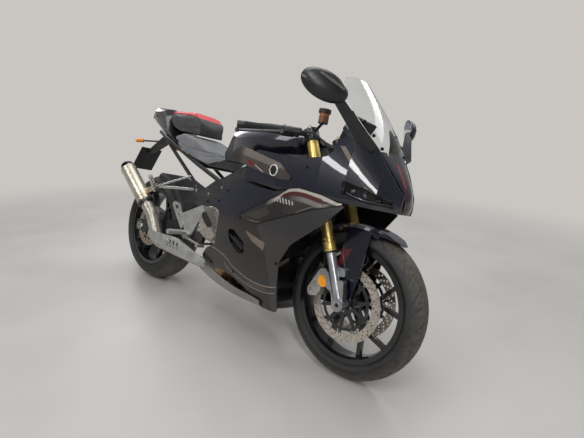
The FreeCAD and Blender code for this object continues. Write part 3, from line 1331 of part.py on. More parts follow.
def rear_sprocket():
    """The rear sprocket on its carrier, bolted to the wheel's left side."""
    plate = sprocket(rear_axle, REAR_TEETH, REAR_AXLE_R + 10)
    carrier = Part.makeCylinder(60, CHAIN_Y - SPROCKET_T / 2 - REAR_HUB_W / 2,
                                rear_axle + across * (REAR_HUB_W / 2), across)
    bore = Part.makeCylinder(REAR_AXLE_R + 10, 80, rear_axle + across * (REAR_HUB_W / 2 - 10), across)
    return fused(plate, carrier).cut(bore)


def parked(shapes):
    """Leans the machine onto its stand, sets both tyres on the ground and centres its footprint."""
    back = wheel_drop(REAR_TYRE_W, REAR_CROWN_DROP)
    front = wheel_drop(FRONT_TYRE_W, FRONT_CROWN_DROP)
    nose_down = math.degrees(math.asin((back - front) / WHEELBASE))
    over = FreeCAD.Placement(V(0, 0, 0), FreeCAD.Rotation(V(1, 0, 0), -LEAN_DEG))
    level = FreeCAD.Placement(V(0, 0, back), FreeCAD.Rotation(V(0, 1, 0), nose_down))
    stance = level.multiply(over)
    leaning = {name: placed(shape, stance) for name, shape in shapes.items()}
    box = FreeCAD.BoundBox()
    for shape in leaning.values():
        box.add(shape.optimalBoundingBox(False, False))
    centre = FreeCAD.Placement(V(-box.Center.x, -box.Center.y, 0), FreeCAD.Rotation())
    return {name: placed(shape, centre) for name, shape in leaning.items()}, centre.multiply(stance)


def placed(shape, placement):
    """A moved copy of a shape."""
    moved = shape.copy()
    moved.Placement = placement.multiply(moved.Placement)
    return moved


standing, stance_placement = parked(nodes())
os.makedirs("parts", exist_ok=True)
for node, solid in standing.items():
    solid.exportStep("parts/" + node + ".step")
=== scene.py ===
import json
import math

import bmesh
import bpy
from mathutils import Matrix, Vector
from mathutils.bvhtree import BVHTree


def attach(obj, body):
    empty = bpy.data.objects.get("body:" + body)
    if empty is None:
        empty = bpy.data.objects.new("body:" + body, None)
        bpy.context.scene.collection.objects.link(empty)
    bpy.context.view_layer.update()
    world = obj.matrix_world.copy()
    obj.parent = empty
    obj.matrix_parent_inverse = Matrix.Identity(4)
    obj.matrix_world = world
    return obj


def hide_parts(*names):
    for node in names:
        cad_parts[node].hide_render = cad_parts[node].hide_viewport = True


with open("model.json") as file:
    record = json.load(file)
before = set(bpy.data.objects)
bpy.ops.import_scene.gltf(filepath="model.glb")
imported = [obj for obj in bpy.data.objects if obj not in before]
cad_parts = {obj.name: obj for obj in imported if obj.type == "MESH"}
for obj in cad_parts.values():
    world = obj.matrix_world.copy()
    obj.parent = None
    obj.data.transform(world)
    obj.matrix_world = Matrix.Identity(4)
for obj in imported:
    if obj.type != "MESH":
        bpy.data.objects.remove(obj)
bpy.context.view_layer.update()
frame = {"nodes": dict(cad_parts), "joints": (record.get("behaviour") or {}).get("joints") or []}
cad = frame["nodes"]

# The machine's own axes. It leans on its side stand, so places on it are given as they are
# when it stands upright: along from the rear axle, to the left of its middle, and up, in mm.
joint = {entry["name"]: entry for entry in frame["joints"]}
REAR_AXLE_HEIGHT = 318.0
WHEELBASE = 1420.0
AXLE_FALL = 18.0
rear_axle = Vector(joint["rear_wheel_spin"]["pos_m"])
front_axle = Vector(joint["front_wheel_spin"]["pos_m"])
leftward = Vector(joint["rear_wheel_spin"]["axis"]).normalized()
between_axles = (front_axle - rear_axle).normalized()
axle_fall_angle = math.atan2(AXLE_FALL, WHEELBASE)
square_up = between_axles.cross(leftward)
forward = between_axles * math.cos(axle_fall_angle) + square_up * math.sin(axle_fall_angle)
upward = square_up * math.cos(axle_fall_angle) - between_axles * math.sin(axle_fall_angle)
LEFT, RIGHT = 1, -1


def on_bike(x, y, z):
    """A point of the upright machine, in mm, as a place in the parked frame, in metres."""
    return rear_axle + (forward * x + leftward * y + upward * (z - REAR_AXLE_HEIGHT)) / 1000


def from_bike(place):
    """The reverse of on_bike: along, left and up on the upright machine, in mm."""
    reach = (place - rear_axle) * 1000
    return Vector((reach.dot(forward), reach.dot(leftward), reach.dot(upward) + REAR_AXLE_HEIGHT))


def way_on_bike(x, y, z):
    """A direction of the upright machine as a unit direction in the parked frame."""
    return (forward * x + leftward * y + upward * z).normalized()


# The view: taken standing, ahead of the machine and to its right, with a wide lens.
CAMERA_REACH = Vector((2.192, -1.278, 0.689))
HEADING, DIP, ROLL = (math.radians(angle) for angle in (131.23, -14.31, 2.09))
ahead = Vector((math.cos(DIP) * math.cos(HEADING), math.cos(DIP) * math.sin(HEADING), math.sin(DIP)))
level_right = Vector((math.sin(HEADING), -math.cos(HEADING), 0))
level_up = level_right.cross(ahead)
view_right = level_right * math.cos(ROLL) + level_up * math.sin(ROLL)
view_up = level_up * math.cos(ROLL) - level_right * math.sin(ROLL)
view_data = bpy.data.cameras.new("view")
view_data.sensor_width = 36.0
view_data.lens = 24.6
view = bpy.data.objects.new("view", view_data)
bpy.context.scene.collection.objects.link(view)
view.matrix_world = (Matrix.Translation(rear_axle + CAMERA_REACH)
                     @ Matrix((view_right, view_up, -ahead)).transposed().to_4x4())
bpy.context.scene.camera = view
bpy.context.scene.view_settings.view_transform = "Standard"


# The room: a pale polished stone floor that runs out into an even pale surround, and long soft
# ceiling lights, as over a show stand.
def srgb(code):
    """A hex colour as the linear values that a socket takes."""
    parts = [int(code[i:i + 2], 16) / 255 for i in (0, 2, 4)]
    return [c / 12.92 if c <= 0.04045 else ((c + 0.055) / 1.055) ** 2.4 for c in parts] + [1.0]


def add(surface, kind, inputs=None, out=0, **settings):
    """Adds a node with its settings and returns one of its outputs. An input is a value or the
    output of another node."""
    made = surface.node_tree.nodes.new("ShaderNode" + kind)
    for name, value in settings.items():
        setattr(made, name, value)
    for socket, value in (inputs or {}).items():
        if isinstance(value, bpy.types.NodeSocket):
            surface.node_tree.links.new(value, made.inputs[socket])
        else:
            made.inputs[socket].default_value = value
    return made.outputs[out]


def blend_colours(surface, share, stops):
    """A colour that runs through the stops, given as pairs of place and hex, as the share rises."""
    ramp = add(surface, "ValToRGB", {"Fac": share})
    points = ramp.node.color_ramp.elements
    while len(points) < len(stops):
        points.new(0.5)
    for point, (place, code) in zip(points, stops):
        point.position = place
        point.color = srgb(code)
    return ramp


def finish(name, light, dark, rough, cloud_mm=60.0, grain_mm=1.5, grain_depth=0.02, **sockets):
    """A surface whose colour clouds between two tones, with an uneven gloss and a fine grain."""
    surface = bpy.data.materials.new(name)
    surface.use_nodes = True
    shader = surface.node_tree.nodes["Principled BSDF"]
    place = add(surface, "TexCoord", out="Object")
    cloud = add(surface, "TexNoise", {"Vector": place, "Scale": 1000 / cloud_mm, "Detail": 4.0})
    grain = add(surface, "TexNoise", {"Vector": place, "Scale": 1000 / grain_mm, "Detail": 2.0})
    colour = blend_colours(surface, cloud, [(0.35, dark), (0.65, light)])
    surface.node_tree.links.new(colour, shader.inputs["Base Color"])
    gloss = add(surface, "MapRange", {"Value": cloud, "From Min": 0.3, "From Max": 0.7,
                                      "To Min": rough * 0.82, "To Max": min(1.0, rough * 1.18)})
    surface.node_tree.links.new(gloss, shader.inputs["Roughness"])
    bump = add(surface, "Bump", {"Height": grain, "Strength": 0.5, "Distance": grain_depth / 1000})
    surface.node_tree.links.new(bump, shader.inputs["Normal"])
    for socket, value in sockets.items():
        shader.inputs[socket.replace("_", " ")].default_value = value
    return surface


honed_stone = finish("honed_stone", "bcb9b5", "b7b4b0", 0.5, cloud_mm=420, grain_mm=8)
stone_nodes = honed_stone.node_tree.nodes
FLOOR_REACH = 60.0
FLOOR_MELTS_AT = (1.7, 4.6)
paths = add(honed_stone, "LightPath").node.outputs
floor_place = add(honed_stone, "TexCoord", out="Object")
floor_distance = add(honed_stone, "VectorMath", {0: floor_place, 1: on_bike(WHEELBASE / 2, 0, 0)},
                     out="Value", operation="DISTANCE")
melt = add(honed_stone, "MapRange", {"Value": floor_distance, "From Min": FLOOR_MELTS_AT[0],
                                     "From Max": FLOOR_MELTS_AT[1]}, interpolation_type="SMOOTHSTEP")
looked_at = add(honed_stone, "Math", {0: paths["Is Camera Ray"], 1: paths["Is Glossy Ray"]},
                operation="MAXIMUM")
melt = add(honed_stone, "Math", {0: melt, 1: looked_at}, operation="MULTIPLY")
haze = add(honed_stone, "Emission", {"Color": srgb("c9c6c2"), "Strength": 1.0})
stone = add(honed_stone, "MixShader", {0: melt, 1: stone_nodes["Principled BSDF"].outputs[0], 2: haze})
honed_stone.node_tree.links.new(stone, stone_nodes["Material Output"].inputs["Surface"])
floor_shape = bmesh.new()
bmesh.ops.create_grid(floor_shape, x_segments=2, y_segments=2, size=FLOOR_REACH)
floor_mesh = bpy.data.meshes.new("floor")
floor_shape.to_mesh(floor_mesh)
floor_shape.free()
floor_mesh.materials.append(honed_stone)
floor = bpy.data.objects.new("floor", floor_mesh)
bpy.context.scene.collection.objects.link(floor)

surround = bpy.data.worlds.new("surround")
bpy.context.scene.world = surround
surround.use_nodes = True
paths = add(surround, "LightPath").node.outputs
seen = add(surround, "Math", {0: paths["Is Camera Ray"], 1: paths["Is Transmission Ray"]},
           operation="MAXIMUM")
wall = add(surround, "Background", {"Color": srgb("c9c6c2"), "Strength": 1.0})
fill = add(surround, "Background", {"Color": srgb("e6e8ec"), "Strength": 0.30})
both = add(surround, "MixShader", {0: seen, 1: fill, 2: wall})
surround.node_tree.links.new(both, surround.node_tree.nodes["World Output"].inputs["Surface"])


def ceiling_light(name, place, aim, width, length, power, turn=0.0):
    """A soft strip light that hangs at a place and faces an aim."""
    data = bpy.data.lights.new(name, "AREA")
    data.shape = "RECTANGLE"
    data.size = width
    data.size_y = length
    data.energy = power
    lamp = bpy.data.objects.new(name, data)
    bpy.context.scene.collection.objects.link(lamp)
    facing = (Vector(aim) - Vector(place)).to_track_quat("-Z", "Y").to_matrix().to_4x4()
    lamp.matrix_world = Matrix.Translation(place) @ facing @ Matrix.Rotation(math.radians(turn), 4, "Z")


ceiling_light("strip_front", (2.2, -2.0, 3.0), (0.3, 0, 0.5), 0.3, 3.2, 52, 20)
ceiling_light("strip_right", (-0.6, -3.0, 2.8), (0, 0, 0.5), 0.3, 3.6, 52, 80)
ceiling_light("strip_over", (0.0, 0.4, 3.4), (0, 0, 0), 1.2, 3.0, 46)
ceiling_light("strip_left", (0.6, 3.0, 2.6), (0, 0, 0.5), 0.6, 3.4, 36, 80)
ceiling_light("strip_rear", (-2.8, 0.6, 2.4), (0, 0, 0.5), 0.6, 2.6, 28)


# The frame: cast aluminium side plates and headstock, painted satin grey, with the swingarm, the
# tubular rear frame and the stand in black powder coat, which shows a faint orange peel.
def dress(surface, *names):
    """Gives carried-over pieces this surface."""
    for name in names:
        slots = cad[name].data.materials
        slots.clear()
        slots.append(surface)


def skin_of(*pieces):
    """The faces of pieces in one tree, to seat small parts on them."""
    joined = bmesh.new()
    for piece in pieces:
        joined.from_mesh(piece.data)
    tree = BVHTree.FromBMesh(joined)
    joined.free()
    return tree


def seat(skin, start, way):
    """Where a line first meets a skin, and the direction that the skin faces there."""
    place, facing, _, _ = skin.ray_cast(start, way)
    if place is None:
        raise ValueError(f"nothing to seat on from {tuple(round(v) for v in from_bike(start))}")
    return place, -facing if facing.dot(way) > 0 else facing


def even_turns(count, offset=0.0):
    """Angles spread evenly round a circle, the first a share of a step past its start."""
    return [2 * math.pi * (i + offset) / count for i in range(count)]


def ring_round(shape, centre, side, other, radius, sides):
    """The corners of a ring round a centre, in the plane of two directions, with a radius in mm."""
    if radius == 0:
        return [shape.verts.new(centre)]
    return [shape.verts.new(centre + (side * math.cos(a) + other * math.sin(a)) * radius / 1000)
            for a in even_turns(sides)]


def join_rings(shape, rings, ends=True):
    """Adds the faces between rings of corners, some of which may be one point, and their ends."""
    count = max(len(ring) for ring in rings)
    for low, high in zip(rings, rings[1:]):
        for i in range(count):
            j = (i + 1) % count
            corners = [low[i % len(low)], low[j % len(low)], high[j % len(high)], high[i % len(high)]]
            shape.faces.new(list(dict.fromkeys(corners)))
    if ends:
        shape.faces.new(rings[0][::-1])
        shape.faces.new(rings[-1])


def turn_form(shape, foot, axis, profile, sides=24):
    """Adds a turned form to a mesh from a profile of (distance along the axis, radius) in mm."""
    side = axis.orthogonal().normalized()
    rings = [ring_round(shape, foot + axis * (distance / 1000), side, axis.cross(side), radius, sides)
             for distance, radius in profile]
    join_rings(shape, rings, ends=False)


def add_screw(shape, place, facing, radius, sides=18):
    """A round screw head with a hexagon socket, standing on a place."""
    turn_form(shape, place, facing, [(-1.0, radius), (radius * 0.45, radius), (radius * 0.62, radius * 0.84),
                                     (radius * 0.62, radius * 0.52), (radius * 0.2, radius * 0.48),
                                     (radius * 0.2, 0)], sides)


def make_piece(name, shape, surface, body, crease_deg=35.0):
    """Turns a bmesh into a piece of the machine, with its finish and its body."""
    bmesh.ops.recalc_face_normals(shape, faces=shape.faces)
    mesh = bpy.data.meshes.new(name)
    shape.to_mesh(mesh)
    shape.free()
    mesh.shade_smooth()
    mesh.set_sharp_from_angle(angle=math.radians(crease_deg))
    mesh.materials.append(surface)
    piece = bpy.data.objects.new(name, mesh)
    bpy.context.scene.collection.objects.link(piece)
    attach(piece, body)
    return piece


grey_painted_casting = finish("grey_painted_casting", "3e3c3c", "313030", 0.38, cloud_mm=35, grain_mm=2.2,
                              grain_depth=0.05, Metallic=0.25)
black_powder_coat = finish("black_powder_coat", "1d1d1f", "141415", 0.34, cloud_mm=40, grain_mm=2.4,
                           grain_depth=0.05)
dress(grey_painted_casting, "main_frame")
dress(black_powder_coat, "subframe", "cowl_stay", "swingarm", "rear_shock", "side_stand")

# The frame's bolts: zinc-plated steel, turned bright, with a socket in each head. They stand on
# the skins that they hold down.
SIDE_REACH = 400


def screw_down(shape, skin, places, sides=(LEFT, RIGHT)):
    """Seats screw heads on a skin from the machine's sides, each given as (x, z, radius)."""
    for side in sides:
        for x, z, radius in places:
            place, facing = seat(skin, on_bike(x, side * SIDE_REACH, z), leftward * -side)
            add_screw(shape, place, facing, radius)


zinc_plated_steel = finish("zinc_plated_steel", "c3c4c2", "a2a39f", 0.28, cloud_mm=6, grain_mm=0.8,
                           grain_depth=0.02, Metallic=1.0)
shape = bmesh.new()
screw_down(shape, skin_of(cad["main_frame"]),
           [(585, 415, 15), (499, 599, 9), (474, 600, 7), (600, 596, 7), (700, 640, 7)])
make_piece("frame_bolts", shape, zinc_plated_steel, "chassis")

# The engine: one block in heat-proof black with horizontal casting ribs, and covers of machined
# aluminium. The clutch lid is cut in fine slanted lines round a bare black plate.
def raise_over(surface, height, depth_mm):
    """Lays a further relief over what the surface has."""
    shader = surface.node_tree.nodes["Principled BSDF"]
    under = shader.inputs["Normal"].links[0].from_socket
    relief = add(surface, "Bump", {"Height": height, "Strength": 1.0, "Distance": depth_mm / 1000,
                                   "Normal": under})
    surface.node_tree.links.new(relief, shader.inputs["Normal"])


machine_places = {}


def places_on(surface):
    """Along, left, up and out from the middle of the upright machine, in mm, on a surface."""
    if surface.name not in machine_places:
        place = add(surface, "TexCoord", out="Object")
        reach = add(surface, "VectorMath", {0: place, 1: rear_axle}, operation="SUBTRACT")
        along, left, rise = (add(surface, "VectorMath", {0: reach, 1: axis * 1000}, out="Value",
                                 operation="DOT_PRODUCT") for axis in (forward, leftward, upward))
        up = add(surface, "Math", {0: rise, 1: REAR_AXLE_HEIGHT}, operation="ADD")
        out = add(surface, "Math", {0: left}, operation="ABSOLUTE")
        machine_places[surface.name] = {"along": along, "left": left, "up": up, "out": out}
    return machine_places[surface.name]


def between(surface, value, low, high, edge=1.0):
    """1 where a value lies between two limits, 0 beyond them, with an edge of a given width."""
    above = add(surface, "Math", {0: value, 1: 1 / edge, 2: 0.5 - low / edge},
                operation="MULTIPLY_ADD", use_clamp=True)
    below = add(surface, "Math", {0: value, 1: -1 / edge, 2: 0.5 + high / edge},
                operation="MULTIPLY_ADD", use_clamp=True)
    return add(surface, "Math", {0: above, 1: below}, operation="MULTIPLY")


def inside(surface, corners, edge=1.2):
    """1 inside a convex outline (x, z) on the machine's side, 0 outside it."""
    area = sum(a[0] * b[1] - b[0] * a[1] for a, b in zip(corners, corners[1:] + corners[:1]))
    if area < 0:
        corners = corners[::-1]
    places = places_on(surface)
    flat = add(surface, "CombineXYZ", {"X": places["along"], "Y": places["up"], "Z": 1.0})
    least = None
    for (x0, z0), (x1, z1) in zip(corners, corners[1:] + corners[:1]):
        run = math.hypot(x1 - x0, z1 - z0)
        line = Vector((z0 - z1, x1 - x0, z1 * x0 - z0 * x1)) / run
        depth = add(surface, "VectorMath", {0: flat, 1: line}, out="Value", operation="DOT_PRODUCT")
        least = depth if least is None else add(surface, "Math", {0: least, 1: depth}, operation="MINIMUM")
    return add(surface, "Math", {0: least, 1: 1 / edge, 2: 0.5}, operation="MULTIPLY_ADD", use_clamp=True)


def mask(surface, *shares, outline=None, edge=1.2, line=None, **limits):
    """How far a surface lies within everything given, from 0 to 1: shares made already, a convex
    outline (x, z), a line (points, width), and limits along, left, up or out as between takes them."""
    shares = list(shares)
    if outline:
        shares.append(inside(surface, outline, edge))
    if line:
        points, width = line
        shares.append(between(surface, above_line(surface, points), -width / 2, width / 2))
        limits["along"] = (points[0][0], points[-1][0])
    for way, limit in limits.items():
        shares.append(between(surface, places_on(surface)[way], *limit))
    whole = shares[0]
    for share in shares[1:]:
        whole = add(surface, "Math", {0: whole, 1: share}, operation="MULTIPLY")
    return whole


def paint_over(surface, *patches):
    """Lays patches over a surface's colour, each a hex colour, its limits and any further shares."""
    shader = surface.node_tree.nodes["Principled BSDF"]
    colour = shader.inputs["Base Color"].links[0].from_socket
    for code, limits, *shares in patches:
        share = mask(surface, *shares, **limits)
        colour = add(surface, "Mix", {0: share, 6: colour, 7: srgb(code)}, out=2, data_type="RGBA")
    surface.node_tree.links.new(colour, shader.inputs["Base Color"])


def ridges(surface, value, spacing_mm):
    """Even waves between -1 and 1 along a value in mm."""
    turn = add(surface, "Math", {0: value, 1: 2 * math.pi / spacing_mm}, operation="MULTIPLY")
    return add(surface, "Math", {0: turn}, operation="SINE")


black_engine_paint = finish("black_engine_paint", "252527", "171718", 0.5, cloud_mm=25, grain_mm=1.6,
                            grain_depth=0.08)
RIB_SPACING, RIB_HEIGHT = 11.0, 1.2
ribs = ridges(black_engine_paint, places_on(black_engine_paint)["up"], RIB_SPACING)
raise_over(black_engine_paint, ribs, RIB_HEIGHT)
dress(black_engine_paint, "engine")

# The lid's lines show on its far half alone, where along plus up lies beyond its middle.
LID_FACE = (-193.4, -190.6)
LID_MIDDLE = 1147.0
LINE_SLANT, LINE_SPACING, LINE_DEPTH = -0.72, 5.0, 0.5
machined_aluminium = finish("machined_aluminium", "b8b1a9", "9c958d", 0.3, cloud_mm=20, grain_mm=1.0,
                            grain_depth=0.03, Metallic=0.7)
places = places_on(machined_aluminium)
slant = add(machined_aluminium, "Math", {0: places["up"], 1: LINE_SLANT, 2: places["along"]},
            operation="MULTIPLY_ADD")
lines = ridges(machined_aluminium, slant, LINE_SPACING)
across = add(machined_aluminium, "Math", {0: places["along"], 1: places["up"]}, operation="ADD")
far_half = mask(machined_aluminium, between(machined_aluminium, across, LID_MIDDLE, 2000), left=LID_FACE)
paint_over(machined_aluminium, ("4b4744", {}, between(machined_aluminium, lines, 0.1, 2.0, 0.8), far_half))
raise_over(machined_aluminium, mask(machined_aluminium, lines, far_half), LINE_DEPTH)
dress(machined_aluminium, "engine_covers")


def add_plate(shape, corners, y_low, y_high):
    """Adds a flat plate to a mesh: its outline (x, z) on the machine's side between two values of y."""
    join_rings(shape, [[shape.verts.new(on_bike(x, y, z)) for x, z in corners] for y in (y_high, y_low)])


# The bare plate on the lid: a black enamelled pressing with a turned-down edge, and the cover's
# socket screws round its flange.
black_enamel = finish("black_enamel", "19191a", "111112", 0.16, cloud_mm=30, grain_mm=1.5, grain_depth=0.01,
                      Coat_Weight=0.5, Coat_Roughness=0.06)
shape = bmesh.new()
add_plate(shape, [(620, 498), (636, 512), (652, 506), (702, 462), (698, 446), (676, 442), (624, 482)],
          -196.0, -191.0)
make_piece("clutch_plate", shape, black_enamel, "chassis")
cover_skin = skin_of(cad["engine_covers"])
DRIVE_COVER_MIDDLE = (890, 420)
DRIVE_COVER_BOLTS_R = 67
shape = bmesh.new()
screw_down(shape, cover_skin, [(x, z, 5.5) for x, z in (
    (634, 406), (611, 440), (735, 380), (722, 546), (638, 532))], [RIGHT])
screw_down(shape, cover_skin, [(DRIVE_COVER_MIDDLE[0] + DRIVE_COVER_BOLTS_R * math.cos(turn),
                                DRIVE_COVER_MIDDLE[1] + DRIVE_COVER_BOLTS_R * math.sin(turn), 4.5)
                               for turn in even_turns(6, 0.5)], [LEFT])
screw_down(shape, cover_skin, [(x, z, 4.5) for x, z in (
    (668, 362), (700, 330), (742, 400), (718, 486), (664, 484))], [LEFT])
make_piece("cover_screws", shape, zinc_plated_steel, "chassis")

# The radiator, the inner mouldings and the rear inner mudguard: glass-filled nylon, dull and
# finely pitted, straight from the mould.
moulded_nylon = finish("moulded_nylon", "1e1e1f", "131314", 0.6, cloud_mm=30, grain_mm=0.9,
                       grain_depth=0.05)
dress(moulded_nylon, "radiator", "hugger", "instruments", "switch_housings", "brake_hoses", "headlamps")

# The exhaust: stainless headers that heat has tinted straw and brown, a cast silver link pipe,
# a brushed titanium can with a black end cap, and a pressed heat shield in blasted aluminium.
def brush(surface, way, spacing_mm, depth_mm):
    """Fine lines drawn along a direction, as a belt leaves them; drawn coarse enough to show."""
    place = add(surface, "TexCoord", out="Object")
    side = way.orthogonal().normalized()
    axes = (way * 14, side * (1000 / spacing_mm), way.cross(side) * (1000 / spacing_mm))
    parts = [add(surface, "VectorMath", {0: place, 1: axis}, out="Value", operation="DOT_PRODUCT")
             for axis in axes]
    lines = add(surface, "CombineXYZ", dict(zip("XYZ", parts)))
    grain = add(surface, "TexNoise", {"Vector": lines, "Scale": 1.0, "Detail": 3.0})
    raise_over(surface, grain, depth_mm)


SILENCER_LOW = on_bike(102, -200, 470)
SILENCER_TOP = on_bike(-105, -222, 633)
silencer_way = (SILENCER_TOP - SILENCER_LOW).normalized()
silencer_length = (SILENCER_TOP - SILENCER_LOW).length * 1000
heat_tinted_steel = finish("heat_tinted_steel", "ab9069", "55463a", 0.28, cloud_mm=45, Metallic=1.0)
cast_steel = finish("cast_steel", "b5b0a6", "9d988d", 0.38, cloud_mm=30, grain_mm=1.4,
                    grain_depth=0.06, Metallic=0.75)
brushed_titanium = finish("brushed_titanium", "d3cdbd", "c4bdab", 0.38, cloud_mm=90, grain_mm=1.0,
                          grain_depth=0.01, Metallic=0.95)
brush(brushed_titanium, silencer_way, 1.4, 0.012)
place = add(brushed_titanium, "TexCoord", out="Object")
reach = add(brushed_titanium, "VectorMath", {0: place, 1: SILENCER_LOW}, operation="SUBTRACT")
climb = add(brushed_titanium, "VectorMath", {0: reach, 1: silencer_way * 1000}, out="Value",
            operation="DOT_PRODUCT")
CAP_LENGTH, THROAT_LENGTH, BLUSH_END = 60, 4, 46
paint_over(brushed_titanium,
           ("b8ab91", {}, between(brushed_titanium, climb, THROAT_LENGTH, BLUSH_END, 40)),
           ("7c7a76", {}, between(brushed_titanium, climb, -60, THROAT_LENGTH)),
           ("1c1b1a", {}, between(brushed_titanium, climb, silencer_length + 1,
                                  silencer_length + CAP_LENGTH)))
blasted_aluminium = finish("blasted_aluminium", "b8b8b5", "a3a3a0", 0.42, cloud_mm=40, grain_mm=0.8,
                           grain_depth=0.03, Metallic=0.7)
dress(heat_tinted_steel, "headers")
dress(cast_steel, "mid_pipe")
dress(brushed_titanium, "silencer")
dress(blasted_aluminium, "exhaust_shield", "footrests", "rear_axle", "front_axle", "rear_caliper")

# The silencer's band clamp at its throat, its rivets at the cap, and the screws that hold the
# shield and the link pipe's cover.
shape = bmesh.new()
SILENCER_R = 0.043
RIVETS = 10
clamp_facing = way_on_bike(0.3, -1, 0.2)
turn_form(shape, SILENCER_LOW, silencer_way, [(-19, 33), (-19, 39.5), (-17, 40.5), (-7, 43.5), (-5, 43.5),
                                              (-5, 37)], 40)
add_screw(shape, SILENCER_LOW - silencer_way * 0.012 + clamp_facing * SILENCER_R, clamp_facing, 5.0)
make_piece("silencer_clamp", shape, black_powder_coat, "chassis")
shape = bmesh.new()
around = silencer_way.orthogonal().normalized()
for turn in even_turns(RIVETS):
    facing = Matrix.Rotation(turn, 3, silencer_way) @ around
    rivet = SILENCER_TOP - silencer_way * 0.018 + facing * SILENCER_R
    turn_form(shape, rivet, facing, [(-1, 3.4), (0.6, 3.4), (1.8, 2.4), (2.3, 0)], 12)
screw_down(shape, skin_of(cad["mid_pipe"], cad["exhaust_shield"]),
           [(160, 428, 5.5), (207, 366, 5.5), (426, 310, 6), (300, 300, 5), (690, 268, 5)], [RIGHT])
make_piece("exhaust_fasteners", shape, zinc_plated_steel, "chassis")

# The rear suspension and drive: the damper's coil spring in black powder coat, the riveted pins of
# the oiled chain, and the wheel nuts with their washers.
def wind_round(shape, centres, radius, sides=8):
    """Adds a closed round cord of one radius in mm along points."""
    rings = []
    side = (centres[1] - centres[0]).orthogonal().normalized()
    for i, centre in enumerate(centres):
        run = (centres[min(i + 1, len(centres) - 1)] - centres[max(i - 1, 0)]).normalized()
        side = (side - run * side.dot(run)).normalized()
        rings.append(ring_round(shape, centre, side, run.cross(side), radius, sides))
    join_rings(shape, rings)


COIL_R = 36.0
COIL_WIRE_R = 5.5
COIL_TURNS = 6
damper_low = on_bike(468, 0, 404)
damper_way = (on_bike(650, 0, 542) - damper_low).normalized()
coil_start, coil_length = 34.0, 136.0
coil_steps = 20
side = damper_way.orthogonal().normalized()
coil = []
for i in range(COIL_TURNS * coil_steps + 1):
    turn = 2 * math.pi * i / coil_steps
    rise = coil_start + coil_length * i / (COIL_TURNS * coil_steps)
    coil.append(damper_low + damper_way * (rise / 1000)
                + (side * math.cos(turn) + damper_way.cross(side) * math.sin(turn)) * COIL_R / 1000)
shape = bmesh.new()
wind_round(shape, coil, COIL_WIRE_R, 10)
make_piece("shock_spring", shape, black_powder_coat, "chassis")

CHAIN_PITCH = 15.875
CHAIN_Y = 106.0
PIN_REACH, PIN_R = 10.2, 3.0
REAR_TEETH, FRONT_TEETH = 43, 16
FRONT_SPROCKET = (662.0, 400.0)
back_r, front_r = (CHAIN_PITCH / 2 / math.sin(math.pi / teeth) for teeth in (REAR_TEETH, FRONT_TEETH))
drive_run = Vector((FRONT_SPROCKET[0], FRONT_SPROCKET[1] - REAR_AXLE_HEIGHT))
run_angle = math.atan2(drive_run.y, drive_run.x)
lean_in = math.acos((back_r - front_r) / drive_run.length)
straight = drive_run.length * math.sin(lean_in)
wraps = (2 * lean_in * front_r, 2 * (math.pi - lean_in) * back_r)
whole_chain = 2 * straight + sum(wraps)
links = 2 * round(whole_chain / CHAIN_PITCH / 2)
oiled_steel = finish("oiled_steel", "77716a", "3d3935", 0.36, cloud_mm=9, grain_mm=0.8,
                     grain_depth=0.04, Metallic=0.9)
dress(oiled_steel, "rear_sprocket", "chain")
shape = bmesh.new()
for i in range(links):
    left_over = whole_chain * i / links
    if left_over < straight:
        turn = run_angle + lean_in
        x = back_r * math.cos(turn) + left_over * math.sin(turn)
        z = back_r * math.sin(turn) - left_over * math.cos(turn)
    elif left_over < straight + wraps[0]:
        turn = run_angle + lean_in - (left_over - straight) / front_r
        x, z = drive_run.x + front_r * math.cos(turn), drive_run.y + front_r * math.sin(turn)
    elif left_over < 2 * straight + wraps[0]:
        turn = run_angle - lean_in
        gone = left_over - straight - wraps[0]
        x = drive_run.x + front_r * math.cos(turn) + gone * math.sin(turn)
        z = drive_run.y + front_r * math.sin(turn) - gone * math.cos(turn)
    else:
        turn = run_angle - lean_in - (left_over - 2 * straight - wraps[0]) / back_r
        x, z = back_r * math.cos(turn), back_r * math.sin(turn)
    foot = on_bike(x, CHAIN_Y, z + REAR_AXLE_HEIGHT)
    for way in (leftward, -leftward):
        turn_form(shape, foot, way, [(7.0, PIN_R), (PIN_REACH - 0.8, PIN_R), (PIN_REACH, PIN_R - 0.8),
                                     (PIN_REACH, 0)], 8)
make_piece("chain_pins", shape, zinc_plated_steel, "chassis")

NUT_Y, NUT_BORE_R = 152.3, 14.3
shape = bmesh.new()
for side in (LEFT, RIGHT):
    foot = on_bike(0, side * NUT_Y, REAR_AXLE_HEIGHT)
    way = leftward * side
    turn_form(shape, foot, way, [(0, NUT_BORE_R), (0, 25), (2.5, 25), (2.5, NUT_BORE_R), (0, NUT_BORE_R)], 32)
    turn_form(shape, foot, way, [(2.5, NUT_BORE_R), (2.5, 20), (10, 20), (12, 18), (12, NUT_BORE_R),
                                 (2.5, NUT_BORE_R)], 6)
make_piece("rear_axle_nuts", shape, zinc_plated_steel, "chassis")

# The wheels: cast aluminium in gloss black powder coat, with black sealed bearings and a metal
# tyre valve through the rim.
gloss_powder_coat = finish("gloss_powder_coat", "1a1a1c", "111112", 0.2, cloud_mm=30, grain_mm=2.0,
                           grain_depth=0.03, Coat_Weight=0.4, Coat_Roughness=0.1)
dress(gloss_powder_coat, "front_rim", "rear_rim", "front_carriers")
